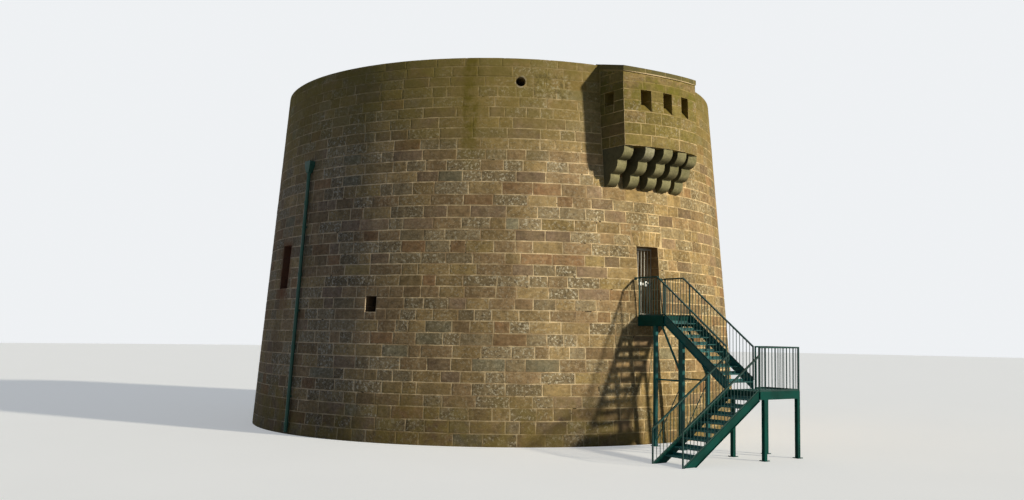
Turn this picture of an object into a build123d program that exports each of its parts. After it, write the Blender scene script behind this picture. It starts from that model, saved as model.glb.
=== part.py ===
from build123d import *
import math
import os

# Round masonry gun tower with a first-floor door, a box machicolation over it and a steel
# stair to the door. Millimetres, +Z up, origin at the centre of the base on the ground.
# Azimuth is counted from the door, which faces -Y, and grows towards +X.

# Tower shell
base_radius = 8130
batter = 0.0812
wall_top = 10770
store_wall = 3330
room_wall = 3130
well_wall = 2530
top_slope = 0.23

# Levels
floor_level = 3560
floor_board = 50
joist_depth = 240
joist_width = 150
joist_pitch = 1200
joist_count = 7
spring_above_door = 300
vault_rise = 1600
vault_crown = 940
masonry_gap = 12

# Banquette inside the parapet
banquette_depth = 620
banquette_height = 1050
banquette_step_depth = 320
banquette_step_height = 500
banquette_pieces = 8
banquette_joint = 12

# Doorway, jambs and barred gate
door_width = 835
door_height = 2000
passage_width = 1000
reveal_depth = 730
gate_clearance = 10
gate_thickness = 40
gate_floor_gap = 25
stile_diameter = 40
stile_wall_gap = 25
leaf_lap = 35
gate_rail_height = 60
gate_bar = 20
gate_bars = 6
gate_lock_height = 940
lock_box = (110, 60, 150)
latch_box = (80, 56, 90)
lock_from_left = 660
latch_from_left = 440
hinge_ring = 9
hinge_height = 55
hinge_play = 0.3
hinge_plate = 8
hinge_levels = (430, 1560)

# Windows: the loop stands on the floor's level, the windows' heads hang below the springing
loop_azimuth = -60.9
loop_width = 360
loop_height = 440
window_azimuth = 91.7
window_width = 640
window_height = 1340
window_drop = 240

# Round vent through the parapet
vent_azimuth = -29.6
vent_diameter = 280
vent_drop = 670

# Machicolation: depths are taken in from the wall's base circle, drops from the wall's top
box_width = 2820
box_axis_depth = 3250
box_curve = 3690
box_batter = 0.045
box_wall = 340
box_front_wall = 420
box_back_depth = 1130
box_core = 1500
box_turn = 80
coping_height = 150
coping_overhang = 10
corbel_count = 5
corbel_width = 340
corbel_height = 360
corbel_shares = (0.39, 0.70, 1.0)
corbel_tail_depth = 1380
corbel_round = 290
corbel_drop = 2490
corbel_setback = 30
passage_gap = 900
slot_width = 340
slot_height = 620
slot_drop = 880
slot_sill_rise = 230
slot_sill_depth = 200
slot_pitch = 750
side_slot_inset = 400
side_slot_width = 400

# Stair
riser_count = 19
lower_riser_count = 9
going_upper = 255
going_lower = 280
stair_width = 1050
stringer_web = 12
stringer_flange = 50
flange_thickness = 10
stringer_above = 45
stringer_depth = 220
tread_thickness = 30
tread_overlap = 10
tread_upstand = 60
upstand_thickness = 12
landing_reach = 760
landing_inset = 250
landing_depth = 280
landing_skirt = 12
deck_thickness = 12
threshold_width = 760
threshold_inset = 570
threshold_thickness = 10
half_landing_depth = 1115
half_landing_right = 950
half_landing_frame = 200
post_size = 95
post_wall = 6
base_plate = 190
base_plate_thickness = 12
post_first_back = 340
post_second_out = 695
leg_inset = 190
brace_width = 45
brace_thickness = 10
brace_level = 1820
brace_foot = 120
brace_drop = 90
brace_head_back = 90
strut_width = 80

# Balustrades
guard_height = 1100
rail_height = 905
guard_bar = 12
guard_pitch = 112
guard_rail = 40
handrail_width = 50
newel = 32
newel_gap = 6

# Rainwater pipe: it leans in with the wall, and a little to one side from foot to top
pipe_foot_azimuth = -81.8
pipe_top_azimuth = -83.1
pipe_diameter = 110
pipe_wall = 5
pipe_offset = 95
pipe_foot = 60
pipe_top = 7750
head_size = (300, 180, 360)
head_foot = 130
head_waist = 0.6
head_wall = 8
bracket_levels = (1100, 3600, 6100)
bracket_height = 60
bracket_width = 36
bracket_tail = 70
bracket_ring = 8

# Room that a cutting solid has past the face it cuts
clear_margin = 500

# Worked-out sizes
riser = floor_level / riser_count
upper_riser_count = riser_count - lower_riser_count
upper_pitch = riser / going_upper
lower_pitch = riser / going_lower
half_level = riser * lower_riser_count
half_stair = stair_width / 2
tread_half = half_stair - stringer_flange
door_head = floor_level + door_height
spring_level = door_head + spring_above_door
platform_level = spring_level + vault_rise + vault_crown
reveal_back = base_radius - reveal_depth
loop_head = floor_level + loop_height
window_head = spring_level - window_drop
window_sill = window_head - window_height
vent_level = wall_top - vent_drop
landing_front = base_radius + landing_reach
landing_back = base_radius - landing_inset
threshold_end = base_radius - threshold_inset
half_landing_back = landing_front + (upper_riser_count - 1) * going_upper
half_landing_front = half_landing_back + half_landing_depth
store_radius = base_radius - store_wall
room_radius = base_radius - room_wall
well_radius = base_radius - well_wall
clear_radius = base_radius + clear_margin
clear_bore = store_radius - clear_margin
clear_height = wall_top + 2 * clear_margin
lintel_turn = 8
corbel_pitch = (box_width - corbel_width) / (corbel_count - 1)
corbel_top = wall_top - corbel_drop
corbel_foot = corbel_top - len(corbel_shares) * corbel_height
corbel_tail = base_radius - corbel_tail_depth
slot_head = wall_top - slot_drop
slot_sill = slot_head - slot_height
side_slot_sill = slot_sill + slot_sill_rise
box_half = box_width / 2
box_inner_half = box_half - box_wall
box_inner = box_curve - box_front_wall
box_axis = base_radius - box_axis_depth
box_back = base_radius - box_back_depth
box_clear = box_axis + box_curve + clear_margin
box_top_at_back = wall_top + top_slope * (base_radius - batter * wall_top - box_back)

os.makedirs("parts", exist_ok=True)


def outer_radius(level):
    """Outer radius of the battered wall at a height."""
    return base_radius - batter * level


def parapet_top(radius):
    """Height of the sloping parapet top at a radius."""
    return wall_top + top_slope * (outer_radius(wall_top) - radius)


def box_top(distance):
    """Height of the machicolation's sloping top at a distance from the axis towards the door."""
    return box_top_at_back - top_slope * (distance - box_back)


def radial_plane(azimuth):
    """Vertical plane through the axis: local X runs outwards, local Y runs up."""
    turn = math.radians(azimuth)
    return Plane(
        origin=(0, 0, 0),
        x_dir=(math.sin(turn), -math.cos(turn), 0),
        z_dir=(-math.cos(turn), -math.sin(turn), 0),
    )


def radial_place(azimuth, distance, level):
    """Location on a radius, turned so that its local -Y points outwards."""
    turn = math.radians(azimuth)
    spot = (distance * math.sin(turn), -distance * math.cos(turn), level)
    return Location(spot, (0, 0, azimuth))


def save(piece, name):
    """Label a finished piece and write its STEP file."""
    piece.label = name
    export_step(piece, f"parts/{name}.step")


def lower_outline():
    """Half section of the wall from the ground to the vault's springing."""
    ledge = floor_level - floor_board - joist_depth
    return [
        (store_radius, 0),
        (outer_radius(0), 0),
        (outer_radius(spring_level), spring_level),
        (room_radius, spring_level),
        (room_radius, ledge),
        (store_radius, ledge),
    ]


def upper_outline():
    """Half section of the wall beside the vault, with the parapet above it."""
    return [
        (well_radius, spring_level),
        (outer_radius(spring_level), spring_level),
        (outer_radius(wall_top), wall_top),
        (well_radius, parapet_top(well_radius)),
    ]


def ring_sector(outline, start, sweep):
    """Turn a half section about the tower's axis between two azimuths."""
    with BuildPart() as sector:
        with BuildSketch(radial_plane(start)):
            with BuildLine():
                Polyline(*outline, close=True)
            make_face()
        revolve(axis=Axis.Z, revolution_arc=sweep)
    return sector.part


def column(azimuth, width, low, high, inside, outside):
    """Radial block of constant width, used for doors, windows and the pieces in line with them."""
    middle = radial_place(azimuth, (inside + outside) / 2, (low + high) / 2)
    with BuildPart() as block:
        with Locations(middle):
            Box(width, outside - inside, high - low)
    return block.part


# Lower wall, split at the door and at each window column
wall_names = {
    "wall_front_left": (loop_azimuth, 0),
    "wall_left": (-window_azimuth, loop_azimuth),
    "wall_rear_left": (-180, -window_azimuth),
    "wall_rear_right": (window_azimuth, 180),
    "wall_front_right": (0, window_azimuth),
}
openings = [
    (0, passage_width),
    (loop_azimuth, loop_width),
    (-window_azimuth, window_width),
    (window_azimuth, window_width),
]


def pipe_centre(level):
    """Point of the rainwater pipe's axis at a height, on the line from its foot to its top."""
    ends = []
    for azimuth, height in ((pipe_foot_azimuth, pipe_foot), (pipe_top_azimuth, pipe_top)):
        turn = math.radians(azimuth)
        reach = outer_radius(height) + pipe_offset
        ends.append(Vector(reach * math.sin(turn), -reach * math.cos(turn), height))
    return ends[0] + (ends[1] - ends[0]) * ((level - pipe_foot) / (pipe_top - pipe_foot))


def pipe_azimuth(level):
    """Azimuth of the pipe's axis at a height."""
    spot = pipe_centre(level)
    return math.degrees(math.atan2(spot.X, -spot.Y))


def bracket_pocket(level):
    """Mortise in the wall for one pipe bracket's tail."""
    inside = outer_radius(level) - bracket_tail
    low = level - bracket_height / 2
    return column(pipe_azimuth(level), bracket_width, low, low + bracket_height, inside, clear_radius)


for name, (start, end) in wall_names.items():
    with BuildPart() as wall:
        add(ring_sector(lower_outline(), start, end - start))
        for azimuth, width in openings:
            if azimuth in (start, end):
                add(column(azimuth, width, 0, spring_level, clear_bore, clear_radius), mode=Mode.SUBTRACT)
        for level in bracket_levels:
            if level < spring_level and start < pipe_azimuth(level) < end:
                add(bracket_pocket(level), mode=Mode.SUBTRACT)
    save(wall.part, name)


def wall_column(azimuth, width, low, high):
    """Piece of the wall ring in line with an opening, from one height to another."""
    with BuildPart() as piece:
        add(ring_sector(lower_outline(), azimuth - lintel_turn, 2 * lintel_turn))
        add(column(azimuth, width, low, high, clear_bore, clear_radius), mode=Mode.INTERSECT)
    return piece.part


with BuildPart() as door_masonry:
    add(wall_column(0, passage_width, 0, floor_level))
    add(wall_column(0, passage_width, door_head, spring_level))
save(door_masonry.part, "door_masonry")

with BuildPart() as window_masonry:
    add(wall_column(loop_azimuth, loop_width, 0, floor_level))
    add(wall_column(loop_azimuth, loop_width, loop_head, spring_level))
    for side in (-window_azimuth, window_azimuth):
        add(wall_column(side, window_width, 0, window_sill))
        add(wall_column(side, window_width, window_head, spring_level))
save(window_masonry.part, "window_masonry")

# Jamb stones narrow the passage at its outer end
with BuildPart() as door_jambs:
    add(wall_column(0, passage_width, floor_level, door_head))
    with Locations((0, -reveal_back / 2, floor_level + door_height / 2)):
        Box(2 * passage_width, reveal_back, 2 * door_height, mode=Mode.SUBTRACT)
    with Locations((0, -clear_radius / 2, floor_level + door_height / 2)):
        Box(door_width, clear_radius, 2 * door_height, mode=Mode.SUBTRACT)
save(door_jambs.part, "door_jambs")

# Floor inside the door: joists on the wall's ledge, boards over them
joist_base = floor_level - floor_board - joist_depth
with BuildPart() as floor_joists:
    with BuildSketch(Plane.XY.offset(joist_base)):
        with GridLocations(joist_pitch, 0, joist_count, 1):
            Rectangle(joist_width, 2 * room_radius)
        Circle(room_radius - masonry_gap, mode=Mode.INTERSECT)
    extrude(amount=joist_depth)
save(floor_joists.part, "floor_joists")

with BuildPart() as floor_boards:
    with BuildSketch(Plane.XY.offset(floor_level - floor_board)):
        Circle(room_radius - masonry_gap)
    extrude(amount=floor_board)
save(floor_boards.part, "floor_boards")

# Vault in four quarters, spherical below and flat above as the gun platform
vault_edge = well_radius - masonry_gap
for number, start in enumerate((0, 90, 180, 270), start=1):
    with BuildPart() as vault:
        with BuildSketch(radial_plane(start)):
            with BuildLine():
                Line((0, spring_level + vault_rise), (0, platform_level))
                Line((0, platform_level), (vault_edge, platform_level))
                Line((vault_edge, platform_level), (vault_edge, spring_level))
                Line((vault_edge, spring_level), (room_radius, spring_level))
                TangentArc(
                    (0, spring_level + vault_rise),
                    (room_radius, spring_level),
                    tangent=(1, 0),
                )
            make_face()
        revolve(axis=Axis.Z, revolution_arc=90)
    save(vault.part, f"vault_{number}")

# Upper wall and parapet in quarters, with the corbels' pockets and the side walls' chases
corbel_places = [(index - (corbel_count - 1) / 2) * corbel_pitch for index in range(corbel_count)]
upper_names = {
    "parapet_front_left": -90,
    "parapet_front_right": 0,
    "parapet_rear_right": 90,
    "parapet_rear_left": 180,
}


def cut_corbel_pockets():
    """Pockets for the corbels' tails and chases for the box's side walls, cut from the open part."""
    for place in corbel_places:
        with Locations((place, -(corbel_tail + clear_radius) / 2, (corbel_foot + corbel_top) / 2)):
            Box(corbel_width, clear_radius - corbel_tail, corbel_top - corbel_foot, mode=Mode.SUBTRACT)
    for side in (-1, 1):
        centre = side * (box_half + box_inner_half) / 2
        height = clear_height - corbel_top
        with Locations((centre, -(box_back + clear_radius) / 2, corbel_top + height / 2)):
            Box(box_wall, clear_radius - box_back, height, mode=Mode.SUBTRACT)


for name, start in upper_names.items():
    with BuildPart() as parapet:
        add(ring_sector(upper_outline(), start, 90))
        if "front" in name:
            cut_corbel_pockets()
            add(column(0, passage_gap, spring_level, clear_height, 0, clear_radius), mode=Mode.SUBTRACT)
        if name == "parapet_front_left":
            with Locations(radial_place(vent_azimuth, outer_radius(vent_level), vent_level)):
                Cylinder(vent_diameter / 2, base_radius, rotation=(90, 0, 0), mode=Mode.SUBTRACT)
            for level in bracket_levels:
                if level > spring_level:
                    add(bracket_pocket(level), mode=Mode.SUBTRACT)
    save(parapet.part, name)

with BuildPart() as passage_masonry:
    add(ring_sector(upper_outline(), -lintel_turn, 2 * lintel_turn))
    add(column(0, passage_gap, spring_level, platform_level, 0, clear_radius), mode=Mode.INTERSECT)
    cut_corbel_pockets()
save(passage_masonry.part, "passage_masonry")

# Stepped banquette round the gun platform, open in front of the passage
banquette_outer = well_radius - masonry_gap
banquette_outline = [
    (banquette_outer - banquette_depth, platform_level),
    (banquette_outer, platform_level),
    (banquette_outer, platform_level + banquette_height),
    (banquette_outer - banquette_step_depth, platform_level + banquette_height),
    (banquette_outer - banquette_step_depth, platform_level + banquette_step_height),
    (banquette_outer - banquette_depth, platform_level + banquette_step_height),
]
joint_turn = math.degrees(banquette_joint / banquette_outer)
gap_turn = math.degrees(math.asin(passage_gap / 2 / (banquette_outer - banquette_depth)))
banquette_sweep = (360 - 2 * gap_turn) / banquette_pieces
with BuildPart() as banquette:
    for index in range(banquette_pieces):
        start = gap_turn + index * banquette_sweep + joint_turn / 2
        add(ring_sector(banquette_outline, start, banquette_sweep - joint_turn))
save(banquette.part, "banquette")


def face_radius(level):
    """Radius of the box's curved front about the box's own axis; the face leans back."""
    return box_curve - box_batter * (level - corbel_top)


def corbel_reach(place, share):
    """Distance a corbel stands out to: a share of the way from the wall to the box's front."""
    corner = abs(place) + corbel_width / 2
    wall_face = math.sqrt(outer_radius(corbel_top) ** 2 - corner**2)
    front = box_axis + math.sqrt(box_curve**2 - corner**2) - corbel_setback
    return wall_face + share * (front - wall_face)


# Corbels: three tiers of five stones, each tier a step further out
for tier, name in enumerate(("corbels_lower", "corbels_middle", "corbels_upper")):
    level = corbel_foot + tier * corbel_height
    with BuildPart() as corbels:
        for place in corbel_places:
            reach = corbel_reach(place, corbel_shares[tier])
            nose = (-reach, level + corbel_round)
            under = (corbel_round - reach, level)
            with BuildSketch(Plane.YZ.offset(place - corbel_width / 2)):
                with BuildLine():
                    Polyline(
                        (-corbel_tail, level),
                        (-corbel_tail, level + corbel_height),
                        (-reach, level + corbel_height),
                        nose,
                    )
                    TangentArc(nose, under, tangent=(0, -1))
                    Line(under, (-corbel_tail, level))
                make_face()
            extrude(amount=corbel_width)
    save(corbels.part, name)

# Plane through the box's own axis, at one end of its turn: local X runs outwards, local Y up
box_plane = radial_plane(-box_turn / 2)
box_plane.origin = (0, -box_axis, 0)
box_line = Axis((0, -box_axis, 0), (0, 0, 1))


def box_piece(outline, left, right, near, far=box_clear):
    """Outline turned about the box's own axis, kept between two sides and two distances."""
    with BuildPart() as piece:
        with BuildSketch(box_plane):
            Polygon(*outline, align=None)
        revolve(axis=box_line, revolution_arc=box_turn)
        with Locations(((left + right) / 2, -(near + far) / 2, clear_height / 2)):
            Box(right - left, far - near, clear_height, mode=Mode.INTERSECT)
    return piece.part


def walling(inner, low, high):
    """Half section of the box's wall between two heights, its outer face on the leaning curve."""
    return [(inner, low), (face_radius(low), low), (face_radius(high), high), (inner, high)]


def front_wall(left, right, low, high):
    """Piece of the curved front wall between two sides and two heights."""
    return box_piece(walling(box_inner, low, high), left, right, box_back)


def side_wall(side, near, far, low, high):
    """Piece of a side wall between two distances from the tower's axis and two heights."""
    left, right = sorted((side * box_inner_half, side * box_half))
    return box_piece(walling(box_core, low, high), left, right, near, far)


side_slot_start = box_back + side_slot_inset
side_slot_end = side_slot_start + side_slot_width
slot_places = (-slot_pitch, 0, slot_pitch)

# Machicolation walls: base with sloping sills, piers between the loopholes, head and coping
with BuildPart() as machicolation_base:
    add(front_wall(-box_inner_half, box_inner_half, corbel_top, slot_sill))
    sill_end = face_radius(slot_sill) - slot_sill_depth
    sill_outline = [
        (box_inner, slot_sill),
        (face_radius(slot_sill), slot_sill),
        (sill_end, slot_sill + slot_sill_rise),
        (box_inner, slot_sill + slot_sill_rise),
    ]
    for place in slot_places:
        add(box_piece(sill_outline, place - slot_width / 2, place + slot_width / 2, box_back))
    for side in (-1, 1):
        add(side_wall(side, box_back, box_clear, corbel_top, side_slot_sill))
save(machicolation_base.part, "machicolation_base")

with BuildPart() as machicolation_piers:
    edges = [-box_inner_half]
    for place in slot_places:
        edges += [place - slot_width / 2, place + slot_width / 2]
    edges.append(box_inner_half)
    for left, right in zip(edges[0::2], edges[1::2]):
        add(front_wall(left, right, slot_sill, slot_head))
    for side in (-1, 1):
        add(side_wall(side, box_back, side_slot_start, side_slot_sill, slot_head))
        add(side_wall(side, side_slot_end, box_clear, side_slot_sill, slot_head))
save(machicolation_piers.part, "machicolation_piers")


def slope_slab(high, low):
    """Slab that follows the box's sloping top, between two drops below it, over the whole box."""
    with BuildPart() as slab:
        with BuildSketch(Plane.YZ):
            Polygon(
                (-box_back, box_top(box_back) - low),
                (-box_clear, box_top(box_clear) - low),
                (-box_clear, box_top(box_clear) - high),
                (-box_back, box_top(box_back) - high),
                align=None,
            )
        extrude(amount=box_width, both=True)
    return slab.part


with BuildPart() as machicolation_head:
    add(front_wall(-box_inner_half, box_inner_half, slot_head, clear_height))
    for side in (-1, 1):
        add(side_wall(side, box_back, box_clear, slot_head, clear_height))
    add(slope_slab(coping_height, clear_height), mode=Mode.INTERSECT)
save(machicolation_head.part, "machicolation_head")

coping_radius = face_radius(slot_head) + coping_overhang
coping_near = outer_radius(wall_top) + masonry_gap
coping_half = box_half + coping_overhang


def coping_ring(inner):
    """Half section of the coping before its top and underside are cut to the slope."""
    low, high = slot_head, clear_height
    return [(inner, low), (coping_radius, low), (coping_radius, high), (inner, high)]


with BuildPart() as machicolation_coping:
    add(box_piece(coping_ring(box_inner), -box_inner_half, box_inner_half, box_back))
    stretches = ((coping_half, coping_near, box_clear), (box_half, box_back, coping_near))
    for side in (-1, 1):
        for edge, near, far in stretches:
            left, right = sorted((side * box_inner_half, side * edge))
            add(box_piece(coping_ring(box_core), left, right, near, far))
    add(slope_slab(0, coping_height), mode=Mode.INTERSECT)
save(machicolation_coping.part, "machicolation_coping")

# Barred gate, hung on its round stile at the left jamb and opening inwards
leaf_y = -(reveal_back - gate_clearance - gate_thickness / 2)
stile_x = -(passage_width / 2 - stile_wall_gap - stile_diameter / 2)
leaf_right = door_width / 2 + leaf_lap
leaf_low = floor_level + gate_floor_gap
leaf_high = door_head - gate_floor_gap
leaf_height = leaf_high - leaf_low
rail_length = leaf_right - stile_x
rail_middle = (leaf_right + stile_x) / 2
lock_level = floor_level + gate_lock_height
rail_levels = (leaf_low + gate_rail_height / 2, lock_level, leaf_high - gate_rail_height / 2)
with BuildPart() as gate:
    with Locations((stile_x, leaf_y, leaf_low + leaf_height / 2)):
        Cylinder(stile_diameter / 2, leaf_height)
    for level in rail_levels:
        with Locations((rail_middle, leaf_y, level)):
            Box(rail_length, gate_thickness / 2, gate_rail_height)
    with Locations((leaf_right - gate_thickness / 2, leaf_y, leaf_low + leaf_height / 2)):
        Box(gate_thickness, gate_thickness, leaf_height)
    bar_pitch = (leaf_right - gate_thickness - stile_x) / (gate_bars + 1)
    for index in range(gate_bars):
        with Locations((stile_x + (index + 1) * bar_pitch, leaf_y, leaf_low + leaf_height / 2)):
            Box(gate_bar, gate_thickness / 2, leaf_height - gate_rail_height)
    with Locations((-door_width / 2 + lock_from_left, leaf_y, lock_level)):
        Box(*lock_box)
    with Locations((-door_width / 2 + latch_from_left, leaf_y, lock_level)):
        Box(*latch_box)
save(gate.part, "gate")

ring_outer = stile_diameter / 2 + hinge_ring
with BuildPart() as gate_hinges:
    for height in hinge_levels:
        level = floor_level + height
        with Locations((stile_x, leaf_y, level)):
            Cylinder(ring_outer, hinge_height)
        with Locations(((stile_x - passage_width / 2) / 2, leaf_y, level)):
            Box(stile_x + passage_width / 2, 2 * hinge_ring, hinge_height)
        with Locations(((hinge_plate - passage_width) / 2, leaf_y, level)):
            Box(hinge_plate, 5 * hinge_ring, 2 * hinge_height)
        with Locations((stile_x, leaf_y, level)):
            Cylinder(stile_diameter / 2 + hinge_play, 3 * hinge_height, mode=Mode.SUBTRACT)
save(gate_hinges.part, "gate_hinges")


def tray(left, right, near, far, top, depth):
    """Deck of folded steel: a flat plate with deep skirts on four sides."""
    with BuildPart() as deck:
        with BuildSketch(Plane.XY.offset(top)):
            with Locations(((left + right) / 2, -(near + far) / 2)):
                Rectangle(right - left, far - near)
        extrude(amount=-depth)
        with BuildSketch(Plane.XY.offset(top - depth)):
            with Locations(((left + right) / 2, -(near + far) / 2)):
                Rectangle(right - left - 2 * landing_skirt, far - near - 2 * landing_skirt)
        extrude(amount=depth - deck_thickness, mode=Mode.SUBTRACT)
    return deck.part


with BuildPart() as landing:
    add(tray(-half_stair, half_stair, landing_back, landing_front, floor_level, landing_depth))
    with BuildSketch(Plane.XY.offset(floor_level)):
        with Locations((0, -(threshold_end + landing_back + landing_skirt) / 2)):
            Rectangle(threshold_width, landing_back + landing_skirt - threshold_end)
    extrude(amount=threshold_thickness)
save(landing.part, "landing")

with BuildPart() as half_landing:
    sides = (-half_stair, half_landing_right, half_landing_back, half_landing_front)
    add(tray(*sides, half_level, half_landing_frame))
save(half_landing.part, "half_landing")


upper_run = half_landing_back - landing_front
lower_run = (half_level + stringer_above) / lower_pitch


def upright(depth, pitch):
    """Upright height of a strip of even depth that lies along a flight."""
    return depth * math.hypot(1, pitch)


def flight_line(height, run, pitch):
    """Height of a flight's nosing line at a run from the landing it starts at."""
    return height - pitch * run


def quad(left, right, low_left, low_right, high_left, high_right):
    """Upright-sided face between two runs, added to the sketch in hand."""
    corners = ((left, low_left), (right, low_right), (right, high_right), (left, high_left))
    Polygon(*corners, align=None)


def stringer(plane, length, height, pitch):
    """Channel stringer along a flight, its web on the plane and its flanges on the outer side."""
    top = height + stringer_above
    end = flight_line(top, length, pitch)
    low = top - upright(stringer_depth, pitch)
    low_end = flight_line(low, length, pitch)
    strip = upright(flange_thickness, pitch)
    with BuildPart() as beam:
        with BuildSketch(plane):
            quad(0, length, low, low_end, top, end)
        extrude(amount=stringer_web)
        with BuildSketch(plane):
            quad(0, length, top - strip, end - strip, top, end)
            quad(0, length, low, low_end, low + strip, low_end + strip)
        extrude(amount=stringer_flange)
        split(bisect_by=Plane.XY, keep=Keep.TOP)
    return beam.part


def treads(plane, count, height, going):
    """Open treads between the stringers, each with a low upstand along its back edge."""
    with BuildPart() as steps:
        for number in range(1, count + 1):
            top = height - number * riser
            nose = number * going
            back = max(0, nose - going - tread_overlap)
            with BuildSketch(plane):
                with BuildLine():
                    Polyline(
                        (nose, top),
                        (nose, top - tread_thickness),
                        (back, top - tread_thickness),
                        (back, top + tread_upstand),
                        (back + upstand_thickness, top + tread_upstand),
                        (back + upstand_thickness, top),
                        close=True,
                    )
                make_face()
            extrude(amount=-2 * tread_half)
    return steps.part


# Planes of the two flights: local X runs down the flight, local Y up, the normal outwards
upper_plane = Plane(origin=(-tread_half, -landing_front, 0), x_dir=(0, -1, 0), z_dir=(-1, 0, 0))
lower_far = half_landing_front - stair_width + stringer_flange
lower_plane = Plane(origin=(-half_stair, -lower_far, 0), x_dir=(-1, 0, 0), z_dir=(0, 1, 0))
lower_middle = half_landing_front - half_stair

with BuildPart() as upper_stringers:
    add(stringer(upper_plane, upper_run, floor_level, upper_pitch))
    mirror(about=Plane.YZ)
save(upper_stringers.part, "upper_stringers")

lower_length = lower_run + upright(stringer_depth, lower_pitch) / lower_pitch
with BuildPart() as lower_stringers:
    add(stringer(lower_plane, lower_length, half_level, lower_pitch))
    mirror(about=Plane.XZ.offset(lower_middle))
save(lower_stringers.part, "lower_stringers")

upper_treads = treads(upper_plane, upper_riser_count - 1, floor_level, going_upper)
save(upper_treads, "upper_treads")
lower_treads = treads(lower_plane, lower_riser_count - 1, half_level, going_lower)
save(lower_treads, "lower_treads")


def post(across, distance, top_near, top_far):
    """Square tube on a base plate, its top cut to a slope between its near and far faces."""
    near = distance - post_size / 2
    far = distance + post_size / 2
    inner = post_size - 2 * post_wall
    with BuildPart() as tube:
        with BuildSketch(Plane.YZ.offset(across - post_size / 2)):
            quad(-far, -near, base_plate_thickness, base_plate_thickness, top_far, top_near)
        extrude(amount=post_size)
        with BuildSketch(Plane.YZ.offset(across - inner / 2)):
            quad(-far + post_wall, -near - post_wall, 0, 0, top_far + post_size, top_near + post_size)
        extrude(amount=inner, mode=Mode.SUBTRACT)
        with Locations((across, -distance, base_plate_thickness / 2)):
            Box(base_plate, base_plate, base_plate_thickness)
    return tube.part


def stringer_underside(distance):
    """Height of the upper stringers' lower edge at a distance from the axis."""
    top = flight_line(floor_level + stringer_above, distance - landing_front, upper_pitch)
    return top - upright(stringer_depth, upper_pitch)


post_first = landing_front - post_first_back
post_second = landing_front + post_second_out
post_offset = half_stair - post_size / 2
landing_underside = floor_level - landing_depth
second_near = stringer_underside(post_second - post_size / 2)
second_far = stringer_underside(post_second + post_size / 2)
with BuildPart() as landing_posts:
    for side in (-post_offset, post_offset):
        add(post(side, post_first, landing_underside, landing_underside))
        add(post(side, post_second, second_near, second_far))
save(landing_posts.part, "landing_posts")

leg_underside = half_level - half_landing_frame
leg_left = leg_inset - half_stair
leg_right = half_landing_right - post_size / 2
with BuildPart() as half_landing_legs:
    for across in (leg_left, leg_right):
        for distance in (half_landing_back + post_size / 2, half_landing_front - post_size / 2):
            add(post(across, distance, leg_underside, leg_underside))
save(half_landing_legs.part, "half_landing_legs")

# Bracing between the landing's posts: a tie, a strut down to the foot and one up to the landing
brace_near = post_first + post_size / 2
brace_far = post_second - post_size / 2
brace_half = brace_width / 2
brace_head = landing_front - brace_head_back
with BuildPart() as post_braces:
    for side in (-post_offset, post_offset):
        with BuildSketch(Plane.YZ.offset(side - brace_thickness / 2)):
            for low_far, low_near in (
                (brace_level - brace_half, brace_level - brace_half),
                (brace_level - brace_drop - brace_width, brace_foot),
            ):
                quad(
                    -brace_far,
                    -brace_near,
                    low_far,
                    low_near,
                    low_far + brace_width,
                    low_near + brace_width,
                )
            Polygon(
                (-brace_far, brace_level + brace_drop),
                (-brace_far, brace_level + brace_drop + 2 * strut_width),
                (-brace_head - strut_width / 2, landing_underside),
                (-brace_head + strut_width / 2, landing_underside),
                align=None,
            )
        extrude(amount=brace_thickness)
save(post_braces.part, "post_braces")


def balustrade(plane, stretches, newels):
    """Panel of upright bars between a bottom rail and a handrail, over one or more stretches.

    A stretch is (start, end, low at start, low at end, top at start, top at end); a newel is
    (run, low, top)."""
    with BuildPart() as panel:
        with BuildSketch(plane):
            for stretch in stretches:
                quad(*stretch)
            for start, end, low_start, low_end, top_start, top_end in stretches:
                count = max(1, round((end - start) / guard_pitch))
                step = (end - start) / count
                low_slope = (low_end - low_start) / (end - start)
                high_slope = (top_end - top_start) / (end - start)
                low = low_start + guard_rail
                high = top_start - guard_rail
                for index in range(count):
                    left = index * step + guard_bar / 2
                    right = (index + 1) * step - guard_bar / 2
                    Polygon(
                        (start + left, low + low_slope * left),
                        (start + right, low + low_slope * right),
                        (start + right, high + high_slope * right),
                        (start + left, high + high_slope * left),
                        align=None,
                        mode=Mode.SUBTRACT,
                    )
        extrude(amount=guard_bar / 2, both=True)
        with BuildSketch(plane):
            for start, end, low_start, low_end, top_start, top_end in stretches:
                quad(start, end, top_start - guard_rail, top_end - guard_rail, top_start, top_end)
        extrude(amount=handrail_width / 2, both=True)
        for run, low_left, low_right, top_left, top_right in newels:
            with BuildSketch(plane):
                quad(run - newel / 2, run + newel / 2, low_left, low_right, top_left, top_right)
            extrude(amount=newel / 2, both=True)
    return panel.part


def flight_stretch(start, end, height, pitch):
    """Stretch of balustrade that stands on a stringer and follows the flight."""
    foot = height + stringer_above
    hand = height + rail_height
    return (
        start,
        end,
        flight_line(foot, start, pitch),
        flight_line(foot, end, pitch),
        flight_line(hand, start, pitch),
        flight_line(hand, end, pitch),
    )


def flight_newel(run, height, floor, pitch):
    """Newel on a stringer, with its ends on the flight's slope; it stands no lower than the floor."""
    foot = height + stringer_above
    hand = height + rail_height
    left = run - newel / 2
    right = run + newel / 2
    return (
        run,
        max(floor, flight_line(foot, left, pitch)),
        max(floor, flight_line(foot, right, pitch)),
        flight_line(hand, left, pitch),
        flight_line(hand, right, pitch),
    )


def level_newel(run, height, low):
    """Newel of a level stretch."""
    return (run, low, low, height, height)


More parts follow.
